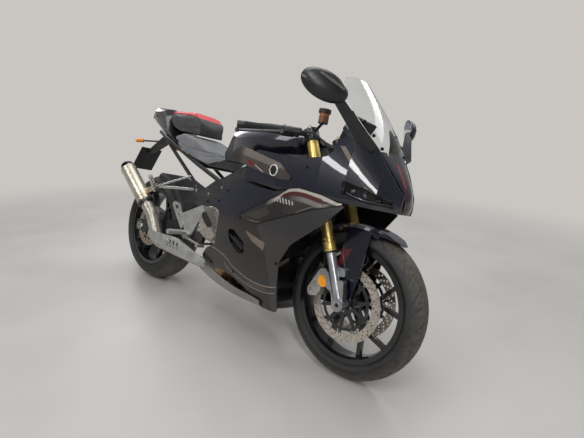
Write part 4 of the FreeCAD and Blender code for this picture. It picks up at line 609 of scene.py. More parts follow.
# Nitrile rubber, moulded smooth: dull black beside the gloss of the rim.
nitrile_seal = finish("nitrile_seal", "1c1c1c", "131313", 0.5, cloud_mm=12, grain_mm=0.8, grain_depth=0.03)
VALVE_TURN, VALVE_R = 0.31, 0.2
wheels = (("front", front_axle, 48.0, 12.6, 30.0), ("rear", rear_axle, 75.0, 14.2, 41.0))
for name, axle, hub_half, inner, outer in wheels:
    shape = bmesh.new()
    for side in (LEFT, RIGHT):
        foot = axle + leftward * (side * (hub_half - 1) / 1000)
        turn_form(shape, foot, leftward * side, [(0, inner + 6), (1.6, inner + 6), (2.2, outer - 6),
                                                 (1.4, outer - 4), (0, outer - 4), (0, inner + 6)], 40)
    make_piece(name + "_hub_seals", shape, nitrile_seal, name + "_wheel")
    shape = bmesh.new()
    bend = way_on_bike(math.sin(VALVE_TURN), -0.55, -math.cos(VALVE_TURN))
    spot = axle + way_on_bike(math.sin(VALVE_TURN), 0, -math.cos(VALVE_TURN)) * VALVE_R
    turn_form(shape, spot, -bend, [(0, 5.5), (6, 5.5), (8, 4), (24, 3.6), (24, 4.6), (33, 4.6), (34, 0)], 14)
    make_piece(name + "_valve", shape, zinc_plated_steel, name + "_wheel")

# The brake discs: stainless steel, ground in fine rings round the axle and polished by the pads,
# held to their black carriers by plated bobbins.
def from_axle(surface, axle):
    """The distance in metres from an axle's line, at each point of a surface."""
    place = add(surface, "TexCoord", out="Object")
    reach = add(surface, "VectorMath", {0: place, 1: axle}, operation="SUBTRACT")
    spread = add(surface, "VectorMath", {0: reach, 1: leftward}, operation="CROSS_PRODUCT")
    return add(surface, "VectorMath", {0: spread}, out="Value", operation="LENGTH")


def ground_rings(surface, axle, spacing_mm, depth_mm):
    """Fine rings round an axle, as a grinding wheel leaves them; drawn coarse enough to show."""
    lines = add(surface, "TexNoise", {"W": from_axle(surface, axle), "Scale": 1000 / spacing_mm,
                                      "Detail": 2.0}, noise_dimensions="1D")
    raise_over(surface, lines, depth_mm)


DISC_RING_MM = 1.2
discs = (("front_disc_steel", "d8cfc3", "c0b6aa", 0.32, front_axle, "front_discs"),
         ("rear_disc_steel", "b9ab9a", "93877a", 0.3, rear_axle, "rear_disc"))
for name, light, dark, rough, axle, node in discs:
    disc_steel = finish(name, light, dark, rough, cloud_mm=14, grain_mm=0.8, grain_depth=0.02, Metallic=1.0)
    ground_rings(disc_steel, axle, DISC_RING_MM, 0.02)
    dress(disc_steel, node)


def spokes(count, offset=0.0):
    """Directions out from an axle, evenly spread, the first a share of a step past the top."""
    return [way_on_bike(math.sin(turn), 0, math.cos(turn)) for turn in even_turns(count, offset)]


BOBBIN_R, BOBBIN_Y = 0.1155, 0.064
shape = bmesh.new()
for out in spokes(10):
    for side in (LEFT, RIGHT):
        spot = front_axle + out * BOBBIN_R + leftward * (side * BOBBIN_Y)
        turn_form(shape, spot, leftward * side, [(-3.4, 0), (-3.4, 6.5), (3.0, 6.5), (3.6, 5.6), (3.6, 3.2),
                                                 (2.2, 3.0), (2.2, 0)], 16)
make_piece("front_disc_bobbins", shape, zinc_plated_steel, "front_wheel")
shape = bmesh.new()
for out in spokes(5, 0.5):
    for side in (LEFT, RIGHT):
        add_screw(shape, front_axle + out * 0.029 + leftward * (side * 0.0665), leftward * side, 5.0)
make_piece("front_disc_bolts", shape, zinc_plated_steel, "front_wheel")
shape = bmesh.new()
rear_bolts = ((RIGHT, 0.0, 0.034, 0.0945, 5.0), (LEFT, 0.5, 0.048, 0.1096, 5.5))
for side, offset, bolts_r, bolts_y, head_r in rear_bolts:
    for out in spokes(6, offset):
        add_screw(shape, rear_axle + out * bolts_r + leftward * (side * bolts_y), leftward * side, head_r)
make_piece("rear_wheel_bolts", shape, zinc_plated_steel, "rear_wheel")

# The tyres: black moulded rubber. Curved grooves sweep back from the crown to the shoulders, two
# fine ribs run round each side wall, and the crown, where the tread has met the ground, is paler:
# dust, and a painted sheen in the same colour.
LEAN_DEG = 13.0
TREAD_ROWS = 20
SIDE_ROWS = 7
AROUND = 560
RIM_EDGE_R = 234.0
BEAD_R = 217.0


def ease(value, low, high):
    """A smooth step from 0 to 1 between two limits."""
    share = min(max((value - low) / (high - low), 0.0), 1.0)
    return share * share * (3 - 2 * share)


def groove_depth(share, around, pitches, pitch_mm, arc_mm):
    """The tread's depth in mm at a share of the way from crown to shoulder and an angle round."""
    reach = abs(share)
    hand = 0.5 if share < 0 else 0.0
    cut = 0.0
    for start, sweep, power, low, high, half_width, deep in ((0.0, 0.86, 1.5, 0.07, 0.80, 2.9, 4.0),
                                                             (0.47, 0.60, 1.2, 0.34, 0.93, 2.5, 3.4)):
        middle = start + hand + sweep * reach ** power
        off = (around * pitches - middle + 0.5) % 1.0 - 0.5
        slope = sweep * power * reach ** (power - 1) * pitch_mm / arc_mm
        near = abs(off) * pitch_mm / math.sqrt(1 + slope * slope) / half_width
        fade = ease(reach, low, low + 0.05) * (1 - ease(reach, high - 0.06, high))
        cut = max(cut, deep * fade * max(0.0, 1 - near ** 3))
    return cut


def mould_tyre(name, axle, radius, width, rim_width, crown_drop, pitches, surface, body):
    """A tyre round an axle, closed behind its beads, with its tread cut into the crown."""
    half = width / 2
    bead = rim_width / 2
    crown_r = (half * half + crown_drop * crown_drop) / (2 * crown_drop)
    middle_r = radius - crown_r
    edge = math.asin(half / crown_r)
    flat_r = middle_r + crown_r * math.cos(math.radians(LEAN_DEG))
    shoulder_r = middle_r + crown_r * math.cos(edge)
    tread = []
    for i in range(TREAD_ROWS + 1):
        angle = edge * i / TREAD_ROWS
        rise = min(middle_r + crown_r * math.cos(angle), flat_r)
        tread.append((crown_r * math.sin(angle), rise, i / TREAD_ROWS))
    wall = []
    for i in range(1, SIDE_ROWS + 1):
        share = i / SIDE_ROWS
        rib = 0.8 if i in (3, 6) else 0.0
        y = half + (bead - half) * share ** 1.35 + 1.0 * math.sin(math.pi * share) + rib
        wall.append((y, shoulder_r + (RIM_EDGE_R - shoulder_r) * share, None))
    inner = [(bead, BEAD_R, None), (bead - 8, BEAD_R, None), (bead - 8, RIM_EDGE_R + 3, None),
             (half - 9, shoulder_r, None), (half * 0.5, radius - 22, None)]
    right = tread[1:] + wall + inner
    section = [(-y, r, None if s is None else -s) for y, r, s in reversed(right)] + tread[:1] + right
    pitch_mm = 2 * math.pi * radius / pitches
    arc_mm = crown_r * edge
    verts = []
    for k in range(AROUND):
        turn = 2 * math.pi * k / AROUND
        out = forward * math.sin(turn) + upward * math.cos(turn)
        for y, r, share in section:
            cut = 0.0 if share is None else groove_depth(share, k / AROUND, pitches, pitch_mm, arc_mm)
            verts.append(axle + (leftward * y + out * (r - cut)) / 1000)
    count = len(section)
    faces = []
    for k in range(AROUND):
        here, following = k * count, (k + 1) % AROUND * count
        for i in range(count):
            j = (i + 1) % count
            faces.append((here + i, here + j, following + j, following + i))
    mesh = bpy.data.meshes.new(name)
    mesh.from_pydata(verts, [], faces)
    shape = bmesh.new()
    shape.from_mesh(mesh)
    bpy.data.meshes.remove(mesh)
    return make_piece(name, shape, surface, body, 50.0)


def moulded_rubber(name, axle, ground_r):
    """Tyre rubber: near black, with a paler crown of dust and painted sheen, and dark, clean side walls."""
    surface = finish(name, "2e2d2c", "1f1f1f", 0.66, cloud_mm=24, grain_mm=1.2, grain_depth=0.06)
    place = add(surface, "TexCoord", out="Object")
    specks = add(surface, "TexNoise", {"Vector": place, "Scale": 1000 / 14.0, "Detail": 6.0})
    # The paler crown stands for dust and also for painted sheen where the tread catches the light.
    crown_dust_and_sheen = between(surface, from_axle(surface, axle), ground_r / 1000, 2, 0.034)
    paint_over(surface, ("6b645b", {}, between(surface, specks, 0.40, 2.0, 0.3), crown_dust_and_sheen, 0.6))
    return surface


tyres = (("front", front_axle, 276.0, (300, 120, 89, 50, 15)),
         ("rear", rear_axle, 288.0, (318, 185, 140, 66, 14)))
for name, axle, ground_r, sizes in tyres:
    tyre_rubber = moulded_rubber(name + "_tyre_rubber", axle, ground_r)
    dress(tyre_rubber, name + "_tyre")
    moulded = mould_tyre(name + "_tyre_moulded", axle, *sizes, tyre_rubber, name + "_wheel")
    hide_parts(name + "_tyre")

# The fork: gold anodised tubes with turned rings at their lower ends, over hard-chromed legs wiped
# clean by black dust seals, held by black yokes and pinch bolts, with blue anodised adjusters.
FORK_Y = 107.0
TUBE_LOW = 206.0
RAKE_DEG = 24.5
rake = math.radians(RAKE_DEG)
steer_up = way_on_bike(-math.sin(rake), 0, math.cos(rake))
steer_ahead = way_on_bike(math.cos(rake), 0, math.sin(rake))


def up_the_fork(distance, y):
    """A point on a fork leg's centre line, at a distance in mm up from the axle."""
    return front_axle + steer_up * (distance / 1000) + leftward * (y / 1000)


gold_anodised = finish("gold_anodised", "dfc67e", "cfb36a", 0.36, cloud_mm=60, Metallic=1.0)
hard_chromed_steel = finish("hard_chromed_steel", "b9babc", "a4a6a9", 0.34, cloud_mm=50, Metallic=1.0)
brush(hard_chromed_steel, steer_up, 1.2, 0.008)
dress(gold_anodised, "fork_tubes")
dress(hard_chromed_steel, "fork_legs")
dress(black_powder_coat, "yokes", "clip_ons")
gold_shape, seal_shape, cap_shape, bolt_shape = (bmesh.new() for _ in range(4))
TUBE_RINGS = (3.0, 30.0, 47.0)
TUBE_TOP = 724.0
PINCH_CLIMBS = (475, 491, 673)
for side in (LEFT, RIGHT):
    y = side * FORK_Y
    low = up_the_fork(TUBE_LOW, y)
    for foot in TUBE_RINGS:
        turn_form(gold_shape, low, steer_up, [(foot, 24), (foot, 27.2), (foot + 1.2, 28), (foot + 5.8, 28),
                                              (foot + 7, 27.2), (foot + 7, 24)], 40)
    turn_form(seal_shape, low, steer_up, [(-7, 20.8), (-7, 23.0), (-5, 24.4), (0, 24.4), (0, 20.8)], 40)
    top = up_the_fork(TUBE_TOP, y)
    turn_form(cap_shape, top, steer_up, [(-1, 13.6), (3, 13.6), (4, 12.4), (4, 0)], 6)
    turn_form(cap_shape, top, steer_up, [(3, 7), (8, 7), (9, 6), (9, 2), (7, 1.6), (7, 0)], 24)
    for climb in PINCH_CLIMBS:
        pinch = up_the_fork(climb, y) - steer_ahead * 0.022 + leftward * (side * 0.026)
        add_screw(bolt_shape, pinch, (leftward * side - steer_ahead * 0.6).normalized(), 4.5)
    for z in (-14, 12):
        foot = front_axle + upward * (z / 1000) - forward * 0.022 + leftward * (y / 1000)
        add_screw(bolt_shape, foot, -forward, 4.5)
make_piece("fork_tube_rings", gold_shape, gold_anodised, "steering")
make_piece("fork_dust_seals", seal_shape, nitrile_seal, "steering")
# Aluminium turned and anodised blue: small bright spots on top of the fork.
blue_anodised = finish("blue_anodised", "2a4f8f", "213f74", 0.25, cloud_mm=10, Metallic=1.0)
make_piece("fork_adjusters", cap_shape, blue_anodised, "steering")
make_piece("fork_pinch_bolts", bolt_shape, zinc_plated_steel, "steering")

# The front calipers: cast and painted silver, bolted to the legs, with a bleed nipple and bridge
# bolts; amber reflectors stand on them, given a faint painted glow.
silver_painted_casting = finish("silver_painted_casting", "c3c0b8", "a9a69f", 0.36, cloud_mm=18,
                                grain_mm=1.2, grain_depth=0.07, Metallic=0.55)
dress(silver_painted_casting, "front_calipers")
caliper_skin = skin_of(cad["front_calipers"])
shape = bmesh.new()
for side in (LEFT, RIGHT):
    screw_down(shape, caliper_skin,
               [(1308, 316, 6.5), (1274, 302, 5), (1290, 334, 5), (1270, 320, 4), (1302, 400, 6)], [side])
    place, facing = seat(caliper_skin, on_bike(1288, side * SIDE_REACH, 352), leftward * -side)
    turn_form(shape, place, facing, [(-1, 4.5), (6, 4.5), (6, 2.4), (12, 2.4), (13, 0)], 12)
make_piece("caliper_bolts", shape, zinc_plated_steel, "steering")
# The reflectors' amber glows faintly: a painted glow, since they hold no lamp.
amber_acrylic_painted_glow = finish("amber_acrylic_painted_glow", "f2a413", "e38c0a", 0.16, cloud_mm=10, Coat_Weight=0.6,
                       Coat_Roughness=0.05, Emission_Color=srgb("f09a10"), Emission_Strength=0.12)
PRISM_MM, PRISM_DEPTH = 3.0, 0.25
places = places_on(amber_acrylic_painted_glow)
rows, columns = (ridges(amber_acrylic_painted_glow, places[way], PRISM_MM) for way in ("along", "up"))
raise_over(amber_acrylic_painted_glow, mask(amber_acrylic_painted_glow, rows, columns), PRISM_DEPTH)
dress(amber_acrylic_painted_glow, "reflectors")

# The bars: black rubber grips moulded with fine ribs and a flange at the inner end, switches with
# small dark red buttons, and levers anodised dark grey.
BAR_END = (WHEELBASE - 474, -350.0, 911.0)
BAR_ROOT = (WHEELBASE - 301, -126.0, 930.0)
GRIP_START, GRIP_LENGTH, GRIP_R, BAR_R = 28.0, 150.0, 16.4, 11.2
RIB_MM = 3.2
ribbed_rubber = finish("ribbed_rubber", "222223", "171718", 0.78, cloud_mm=12, grain_mm=1.0,
                       grain_depth=0.08)
rider_way = way_on_bike(-1, 0, 0.25)
shape, button_shape = bmesh.new(), bmesh.new()
for side in (LEFT, RIGHT):
    end = on_bike(BAR_END[0], -side * BAR_END[1], BAR_END[2])
    root = on_bike(BAR_ROOT[0], -side * BAR_ROOT[1], BAR_ROOT[2])
    inwards = (root - end).normalized()
    profile = [(GRIP_START, BAR_R), (GRIP_START, GRIP_R)]
    station = GRIP_START + 3
    while station < GRIP_START + GRIP_LENGTH - 6:
        profile += [(station, GRIP_R), (station + 0.8, GRIP_R - 1.3), (station + RIB_MM - 1, GRIP_R - 1.3),
                    (station + RIB_MM, GRIP_R)]
        station += RIB_MM + 1.4
    edge = GRIP_START + GRIP_LENGTH
    profile += [(edge - 3, GRIP_R), (edge, GRIP_R + 4), (edge + 5, GRIP_R + 4.6), (edge + 7.5, GRIP_R + 3),
                (edge + 7.5, BAR_R)]
    turn_form(shape, end, inwards, profile, 32)
    behind = (rider_way - inwards * rider_way.dot(inwards)).normalized()
    for step, lift, radius in ((edge + 20, 0.2, 5.0), (edge + 34, 0.2, 4.0), (edge + 27, -0.5, 5.5)):
        facing = (behind + inwards.cross(behind) * lift).normalized()
        place = end + inwards * (step / 1000) + facing * 0.0205
        turn_form(button_shape, place, facing, [(-1, radius), (2.4, radius), (3.4, radius - 1), (3.4, 0)], 20)
piece = make_piece("ribbed_grips", shape, ribbed_rubber, "steering")
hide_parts("grips")
dress(ribbed_rubber, "grips")
red_switch_abs = finish("red_switch_abs", "6a1d1b", "5a1715", 0.45, cloud_mm=12, grain_mm=0.9,
                        grain_depth=0.03)
make_piece("switch_buttons", button_shape, red_switch_abs, "steering")
anodised_aluminium = finish("anodised_aluminium", "5c5c5d", "444446", 0.34, cloud_mm=30, grain_mm=1.0,
                            grain_depth=0.02, Metallic=0.9)
dress(anodised_aluminium, "levers")

# The front brake's fluid cup: translucent nylon that shows the brown fluid to its level, under a
# black ribbed screw cap.
CUP_LOW_Z, FLUID_Z, CUP_TOP_Z = 976.0, 1000.0, 1012.0
translucent_nylon = finish("translucent_nylon", "1c1c1d", "141415", 0.4, cloud_mm=20, grain_mm=1.0,
                           grain_depth=0.03)
paint_over(translucent_nylon, ("8a5a2a", {"up": (CUP_LOW_Z, CUP_TOP_Z - 1)}),
           ("6e4119", {"up": (CUP_LOW_Z, FLUID_Z)}))
dress(translucent_nylon, "brake_reservoir")
shape = bmesh.new()
cap_foot = on_bike(BAR_ROOT[0] + 86, BAR_ROOT[1] - 14, CUP_TOP_Z)
CAP_RIBS, CAP_R = 30, 0.0236
for turn in even_turns(CAP_RIBS):
    facing = way_on_bike(math.cos(turn), math.sin(turn), 0)
    rib = [cap_foot + facing * CAP_R + upward * rise for rise in (0.002, 0.008, 0.014)]
    wind_round(shape, rib, 1.1, 6)
make_piece("cup_cap_ribs", shape, moulded_nylon, "steering")

# The side fairings: injection-moulded ABS in satin dark grey with a faint brown cast, raw black
# inside, with two pale pinstripes, a pale brown insert and black air outlets.
def above_line(surface, points):
    """How far a surface lies above a smooth line through points (x, z), in mm."""
    low_x, high_x = points[0][0], points[-1][0]
    low_z, high_z = min(z for _, z in points), max(z for _, z in points)
    places = places_on(surface)
    share = add(surface, "MapRange", {"Value": places["along"], "From Min": low_x, "From Max": high_x})
    height = add(surface, "FloatCurve", {"Value": share})
    course = height.node.mapping.curves[0].points
    spots = [((x - low_x) / (high_x - low_x), (z - low_z) / (high_z - low_z)) for x, z in points]
    course[0].location, course[1].location = spots[0], spots[-1]
    for spot in spots[1:-1]:
        course.new(*spot)
    height.node.mapping.update()
    height = add(surface, "MapRange", {"Value": height, "To Min": low_z, "To Max": high_z})
    return add(surface, "Math", {0: places["up"], 1: height}, operation="SUBTRACT")


def facing_inwards(surface):
    """1 on faces of a side panel that look towards the machine's middle, 0 on the outer ones."""
    normal = add(surface, "TexCoord", out="Normal")
    outwards = add(surface, "VectorMath", {0: normal, 1: leftward}, out="Value", operation="DOT_PRODUCT")
    outwards = add(surface, "Math", {0: outwards, 1: places_on(surface)["left"]}, operation="MULTIPLY")
    return add(surface, "Math", {0: outwards, 1: -2.0}, operation="LESS_THAN")


satin_grey_abs = finish("satin_grey_abs", "2c2927", "232120", 0.28, cloud_mm=260, grain_mm=0.8,
                        grain_depth=0.008, Metallic=0.35, Coat_Weight=0.25, Coat_Roughness=0.2)
UPPER_STRIPE = [(759, 369), (842, 356), (957, 310), (1087, 291), (1197, 308)]
LOWER_STRIPE = [(860, 318), (953, 282), (1084, 264), (1194, 282)]
BETWEEN_STRIPES = [(1020, 299), (1087, 291), (1200, 308), (1200, 283), (1084, 264), (1020, 270)]
AIR_OUTLET = [(876, 478), (922, 480), (998, 440), (1002, 395), (958, 388), (896, 428)]
INSERT = [(998, 491), (1008, 493), (1121, 468), (1117, 436), (1041, 462)]
INSERT_LOW = [(1041, 462), (1117, 436), (1121, 468), (1060, 481)]
BLADE = ([(1062, 528), (1120, 452), (1246, 488), (1372, 598), (1430, 671), (1324, 639)],
         [(1120, 452), (1158, 352), (1204, 410), (1246, 488)],
         [(1158, 352), (1172, 202), (1204, 200), (1204, 410)])
blade = 0.0
for part in BLADE:
    blade = add(satin_grey_abs, "Math", {0: blade, 1: inside(satin_grey_abs, part, 3)}, operation="MAXIMUM")
paint_over(satin_grey_abs, ("3b3938", {}, blade), ("463d36", {"outline": BETWEEN_STRIPES, "edge": 2}),
           ("948879", {"line": (UPPER_STRIPE, 3.4)}), ("948879", {"line": (LOWER_STRIPE, 2.6)}),
           ("6b5f54", {"outline": INSERT}), ("776a5d", {"outline": INSERT_LOW}),
           ("151515", {"outline": AIR_OUTLET}), ("171717", {}, facing_inwards(satin_grey_abs)))
dress(satin_grey_abs, "side_fairings")

# The lower front cowl: one black folded moulding that closes the gap between the two fairings
# ahead of the headers, with a pale stripe high on each wing.
COWL_LOW, COWL_HIGH = 208.0, 404.0
COWL_WALL = 2.5
COWL_FOLDS = [(1148, 203), (1117, 160), (1115.5, 70), (1115.5, -70), (1117, -160), (1148, -203)]
COWL_ROWS = [(COWL_LOW, 0.0), (250.0, 0.0), (254.0, -4.0), (276.0, -4.0), (280.0, 0.0), (330.0, 0.0),
             (334.0, -4.0), (356.0, -4.0), (360.0, 0.0), (COWL_HIGH, 0.0)]
lower_cowl_nylon = finish("lower_cowl_nylon", "161617", "0e0e0f", 0.42, cloud_mm=60, grain_mm=1.0,
                          grain_depth=0.03, Coat_Weight=0.2, Coat_Roughness=0.2)
STRIPE_SLANT = 0.43
WING_FACE = (78, 156)
places = places_on(lower_cowl_nylon)
climbing = add(lower_cowl_nylon, "Math", {0: places["out"], 1: STRIPE_SLANT, 2: places["up"]},
               operation="MULTIPLY_ADD")
for low, high in ((424, 428), (434, 440)):
    stripe = between(lower_cowl_nylon, climbing, low, high)
    paint_over(lower_cowl_nylon, ("a09180", {"out": WING_FACE}, stripe))
shape = bmesh.new()
FLAT_HALF = 70
rows = [[shape.verts.new(on_bike(x + inset * (abs(y) <= FLAT_HALF) - wall, y, z))
         for wall, folds in ((0, COWL_FOLDS), (COWL_WALL, COWL_FOLDS[::-1])) for x, y in folds]
        for z, inset in COWL_ROWS]
join_rings(shape, rows, ends=False)
for row in (rows[0], rows[-1]):
    for i in range(len(COWL_FOLDS) - 1):
        shape.faces.new((row[i], row[-1 - i], row[-2 - i], row[i + 1]))
make_piece("lower_front_cowl", shape, lower_cowl_nylon, "chassis")

# The gloss panels: the same mouldings sprayed navy under a clear coat, so deep that they read as
# black away from the light, with fine metal flake in the paint.
def spray_navy(name):
    """Navy two-layer paint: the colour with its flake, under a clear coat like still water."""
    surface = finish(name, "0d0e1c", "080811", 0.3, cloud_mm=160, grain_mm=3.0, grain_depth=0.004,
                     Coat_Weight=1.0, Coat_Roughness=0.03, Specular_IOR_Level=0.25)
    place = add(surface, "TexCoord", out="Object")
    flake = add(surface, "TexVoronoi", {"Vector": place, "Scale": 1000 / 0.9}, out="Color")
    flake = add(surface, "SeparateColor", {"Color": flake})
    paint_over(surface, ("252a4a", {}, between(surface, flake, 0.94, 2.0, 0.05)))
    return surface


navy_gloss_abs = spray_navy("navy_gloss_abs")
dress(navy_gloss_abs, "tank", "flank_panels")

# The shoulder panels: satin silver along the top with a dark red band under it, slanted silver
# slashes behind, and a dark grey field with fine hatching inside a thin line.
SHOULDER_TOP = [(950, 552), (1148, 662), (1192, 696), (1237, 705), (1333, 696), (1436, 680)]
FIELD_EDGE = [(962, 550), (1050, 541), (1330, 654), (1420, 683)]
SLASHED = [(1118, 640), (1152, 662), (1232, 650), (1226, 636)]
HATCHED = [(978, 556), (1060, 552), (1126, 586), (1096, 610)]
SLASH_SLANT, SLASH_SPACING, HATCH_SPACING = 0.55, 15, 5.5
hatched_grey_abs = finish("hatched_grey_abs", "35312f", "2b2826", 0.28, cloud_mm=160, grain_mm=0.8,
                          grain_depth=0.008, Metallic=0.4, Coat_Weight=0.4, Coat_Roughness=0.1)
above_top = above_line(hatched_grey_abs, SHOULDER_TOP)
silver_band, low_silver, red_band = (between(hatched_grey_abs, above_top, *band) for band in (
    (-17, 4, 2), (-48, -29, 8), (-29, -13, 2)))
places = places_on(hatched_grey_abs)
slant = add(hatched_grey_abs, "Math", {0: places["up"], 1: SLASH_SLANT, 2: places["along"]},
            operation="MULTIPLY_ADD")
slashes = between(hatched_grey_abs, ridges(hatched_grey_abs, slant, SLASH_SPACING), 0.25, 3, 0.3)
hatch = between(hatched_grey_abs, ridges(hatched_grey_abs, slant, HATCH_SPACING), 0.3, 3, 0.4)
paint_over(hatched_grey_abs, ("a69f97", {"along": (1120, 1500, 60)}, silver_band),
           ("7b746d", {"along": (1236, 1400, 80)}, low_silver),
           ("4a1518", {"along": (1160, 1345, 14)}, red_band),
           ("bdb8b3", {"outline": SLASHED}, slashes), ("6b645f", {"outline": HATCHED}, hatch, 0.5),
           ("857e77", {"line": (FIELD_EDGE, 2.2)}))
dress(hatched_grey_abs, "shoulder_panels")

# The tank covers: satin brown with a painted highlight along the upper edge and a short dark red
# dash, dark at the rear and raw inside. The belly pan below is plain satin silver.
RED_DASH = [(893, 780), (904, 789), (946, 771), (936, 761)]
PALE_DASH = [(948, 768), (952, 770), (1010, 745), (1006, 742)]
# A pale band painted along the covers' upper edge as a highlight.
PAINTED_TOP_HIGHLIGHT = [(800, 816), (826, 850), (1104, 796), (1134, 768), (1060, 772)]
satin_brown_abs = finish("satin_brown_abs", "5d554e", "4a443f", 0.3, cloud_mm=160, grain_mm=0.8,
                         grain_depth=0.008, Metallic=0.5, Coat_Weight=0.3, Coat_Roughness=0.12)
paint_over(satin_brown_abs, ("8a2024", {"outline": RED_DASH}), ("cfc8c0", {"outline": PALE_DASH}),
           ("80776e", {"outline": PAINTED_TOP_HIGHLIGHT, "edge": 3}), ("3a3531", {"along": (700, 850, 40)}),
           ("181818", {}, facing_inwards(satin_brown_abs)))
dress(satin_brown_abs, "tank_covers")
# ABS sprayed satin silver: the pale keel under the dark fairing.
silver_painted_abs = finish("silver_painted_abs", "8b8883", "77746f", 0.32, cloud_mm=160, grain_mm=0.8,
                            grain_depth=0.008, Metallic=0.55, Coat_Weight=0.3, Coat_Roughness=0.15)
dress(silver_painted_abs, "belly_pan")

# The panels' quarter-turn screws, in black zinc, and the plain black caps on the tank covers, each
# in a white enamelled ring.
black_zinc = finish("black_zinc", "343436", "232325", 0.36, cloud_mm=8, grain_mm=0.8, grain_depth=0.02,
                    Metallic=0.9)
shape = bmesh.new()
screw_down(shape, skin_of(cad["side_fairings"], cad["flank_panels"], cad["upper_cowl"]), [
    (x, z, 6.0) for x, z in ((690, 312), (744, 290), (930, 296), (1118, 218), (1192, 404), (822, 640),
                             (770, 584), (1180, 600), (668, 566), (930, 780), (1240, 790))])
make_piece("panel_screws", shape, black_zinc, "chassis")
cover_skin = skin_of(cad["tank_covers"], cad["flank_panels"], cad["upper_cowl"])
shape, ring_shape = bmesh.new(), bmesh.new()
for side in (LEFT, RIGHT):
    place, facing = seat(cover_skin, on_bike(1072, side * SIDE_REACH, 758), leftward * -side)
    turn_form(shape, place, facing, [(-6, 19), (2.0, 19), (3.2, 17.5), (3.6, 0)], 40)
    turn_form(ring_shape, place, facing, [(-6, 19.2), (-6, 24), (1.5, 24), (3.4, 22.6), (3.4, 20), (2, 19.2),
                                          (-6, 19.2)], 40)
make_piece("cover_caps", shape, black_enamel, "chassis")
# Baked enamel: a clean pale line round each cap.
white_enamel = finish("white_enamel", "dcdcd6", "cdcdc6", 0.25, cloud_mm=8, grain_mm=0.8, grain_depth=0.01)
make_piece("cover_cap_rings", ring_shape, white_enamel, "chassis")

# The upper cowl and nose: the same gloss navy, with a grey-brown sliver beside the screen, red
# marks on the nose and raw black plastic behind.
SLIVER = [(1350, 883), (1369, 884), (1452, 790), (1430, 794)]
SCREEN_EDGE = [(1372, 892), (1410, 850), (1470, 792)]
navy_cowl_abs = spray_navy("navy_cowl_abs")
paint_over(navy_cowl_abs, ("6f665d", {"outline": SLIVER}), ("35343f", {"line": (SCREEN_EDGE, 3.0)}),
           ("2a2a2c", {"up": (600, 697, 2)}), ("171717", {}, facing_inwards(navy_cowl_abs)))
dress(navy_cowl_abs, "upper_cowl")
navy_nose_abs = spray_navy("navy_nose_abs")
paint_over(navy_nose_abs, ("7e1f22", {"out": (30, 33), "up": (690, 800, 10)}),
           ("8f2326", {"out": (22, 33, 2), "up": (775, 862, 6)}))
dress(navy_nose_abs, "nose")

# The front mudguard: gloss navy, with a dark red patch on each lobe, fixed with black screws.
LOBE_PATCH = [(1346, 470), (1356, 504), (1412, 516), (1388, 457), (1362, 420)]
navy_mudguard_abs = spray_navy("navy_mudguard_abs")
paint_over(navy_mudguard_abs, ("551c22", {"out": (77.5, 90), "outline": LOBE_PATCH, "edge": 2}))
dress(navy_mudguard_abs, "front_mudguard")
shape = bmesh.new()
screw_down(shape, skin_of(cad["front_mudguard"]), [(1383, 404, 6.5), (1424, 352, 6.5)])
make_piece("mudguard_screws", shape, black_zinc, "steering")

# The lamps: clear polycarbonate lenses over black housings, each with two round projectors and a
# small third one in bright rings, and a thin light strip along the lower edge.
clear_polycarbonate = finish("clear_polycarbonate", "f4f6f7", "eef1f2", 0.03, grain_depth=0.0,
                             Transmission_Weight=1.0, IOR=1.18)
dress(clear_polycarbonate, "lamp_lenses")
# Metallised rings and hard coated glass: small sharp lights within the dark lens.
bright_reflector = finish("bright_reflector", "77787c", "5d5e62", 0.16, cloud_mm=14, grain_depth=0.0,
                          Metallic=1.0)
coated_glass = finish("coated_glass", "565e68", "3b424b", 0.05, cloud_mm=10, grain_depth=0.0,
                      Coat_Weight=1.0, Coat_Roughness=0.02, Metallic=0.4)
ring_shape, glass_shape = bmesh.new(), bmesh.new()
for side in (LEFT, RIGHT):
    for x, y, z, nx, ny, radius in ((1424, 170, 730, 0.47, 0.88, 14), (1462, 149, 722, 0.62, 0.78, 13),
                                    (1500, 112, 712, 0.75, 0.66, 9)):
        way = way_on_bike(nx, side * ny, 0.0)
        foot = on_bike(x, side * y, z) - way * 0.006
        turn_form(ring_shape, foot, way, [(-6, 0), (-6, radius), (5, radius), (6.5, radius - 1.2),
                                          (5, radius - 2.6), (0, radius * 0.55), (0, 0)], 30)
        turn_form(glass_shape, foot, way, [(0.4, radius * 0.6), (2.5, radius * 0.52), (4.4, radius * 0.34),
                                           (5, 0)], 30)
    strip = [on_bike(x, side * y, z) for x, y, z in ((1406, 188, 720), (1440, 170, 710), (1470, 151, 703),
                                                     (1505, 112, 702), (1532, 84, 702))]
    wind_round(ring_shape, strip, 2.6, 8)
make_piece("lamp_rings", ring_shape, bright_reflector, "chassis")
make_piece("lamp_projectors", glass_shape, coated_glass, "chassis")

# The screen: clear acrylic, drape-formed to a bubble, thin and bright at its edge, held by
# shouldered screws in black zinc.
clear_acrylic = finish("clear_acrylic", "f2f5f6", "ebeff1", 0.03, grain_depth=0.0,
                       Transmission_Weight=1.0, IOR=1.14)
dress(clear_acrylic, "windscreen")
screen_skin = skin_of(cad["windscreen"])
shape = bmesh.new()
for side in (LEFT, RIGHT):
    for y, z in ((92, 902), (116, 944), (132, 990)):
        place, facing = seat(screen_skin, on_bike(1700, side * y, z), -forward)
        turn_form(shape, place, facing, [(-6, 5.5), (0.6, 7.5), (1.6, 7.2), (3.4, 5.4), (3.8, 2.4),
                                         (2.2, 2.2), (2.2, 0)], 20)
make_piece("screen_screws", shape, black_zinc, "chassis")

# The mirrors: textured black ABS shells with a pale strip let into the front, and silvered glass
# behind.
textured_black_abs = finish("textured_black_abs", "1b1c20", "131417", 0.36, cloud_mm=60, grain_mm=1.3,
                            grain_depth=0.04)
dress(textured_black_abs, "mirrors")
strip_polycarbonate = finish("strip_polycarbonate", "6f6863", "5b5550", 0.22, cloud_mm=30, grain_mm=1.5,
                             grain_depth=0.01, Coat_Weight=0.6, Coat_Roughness=0.06)
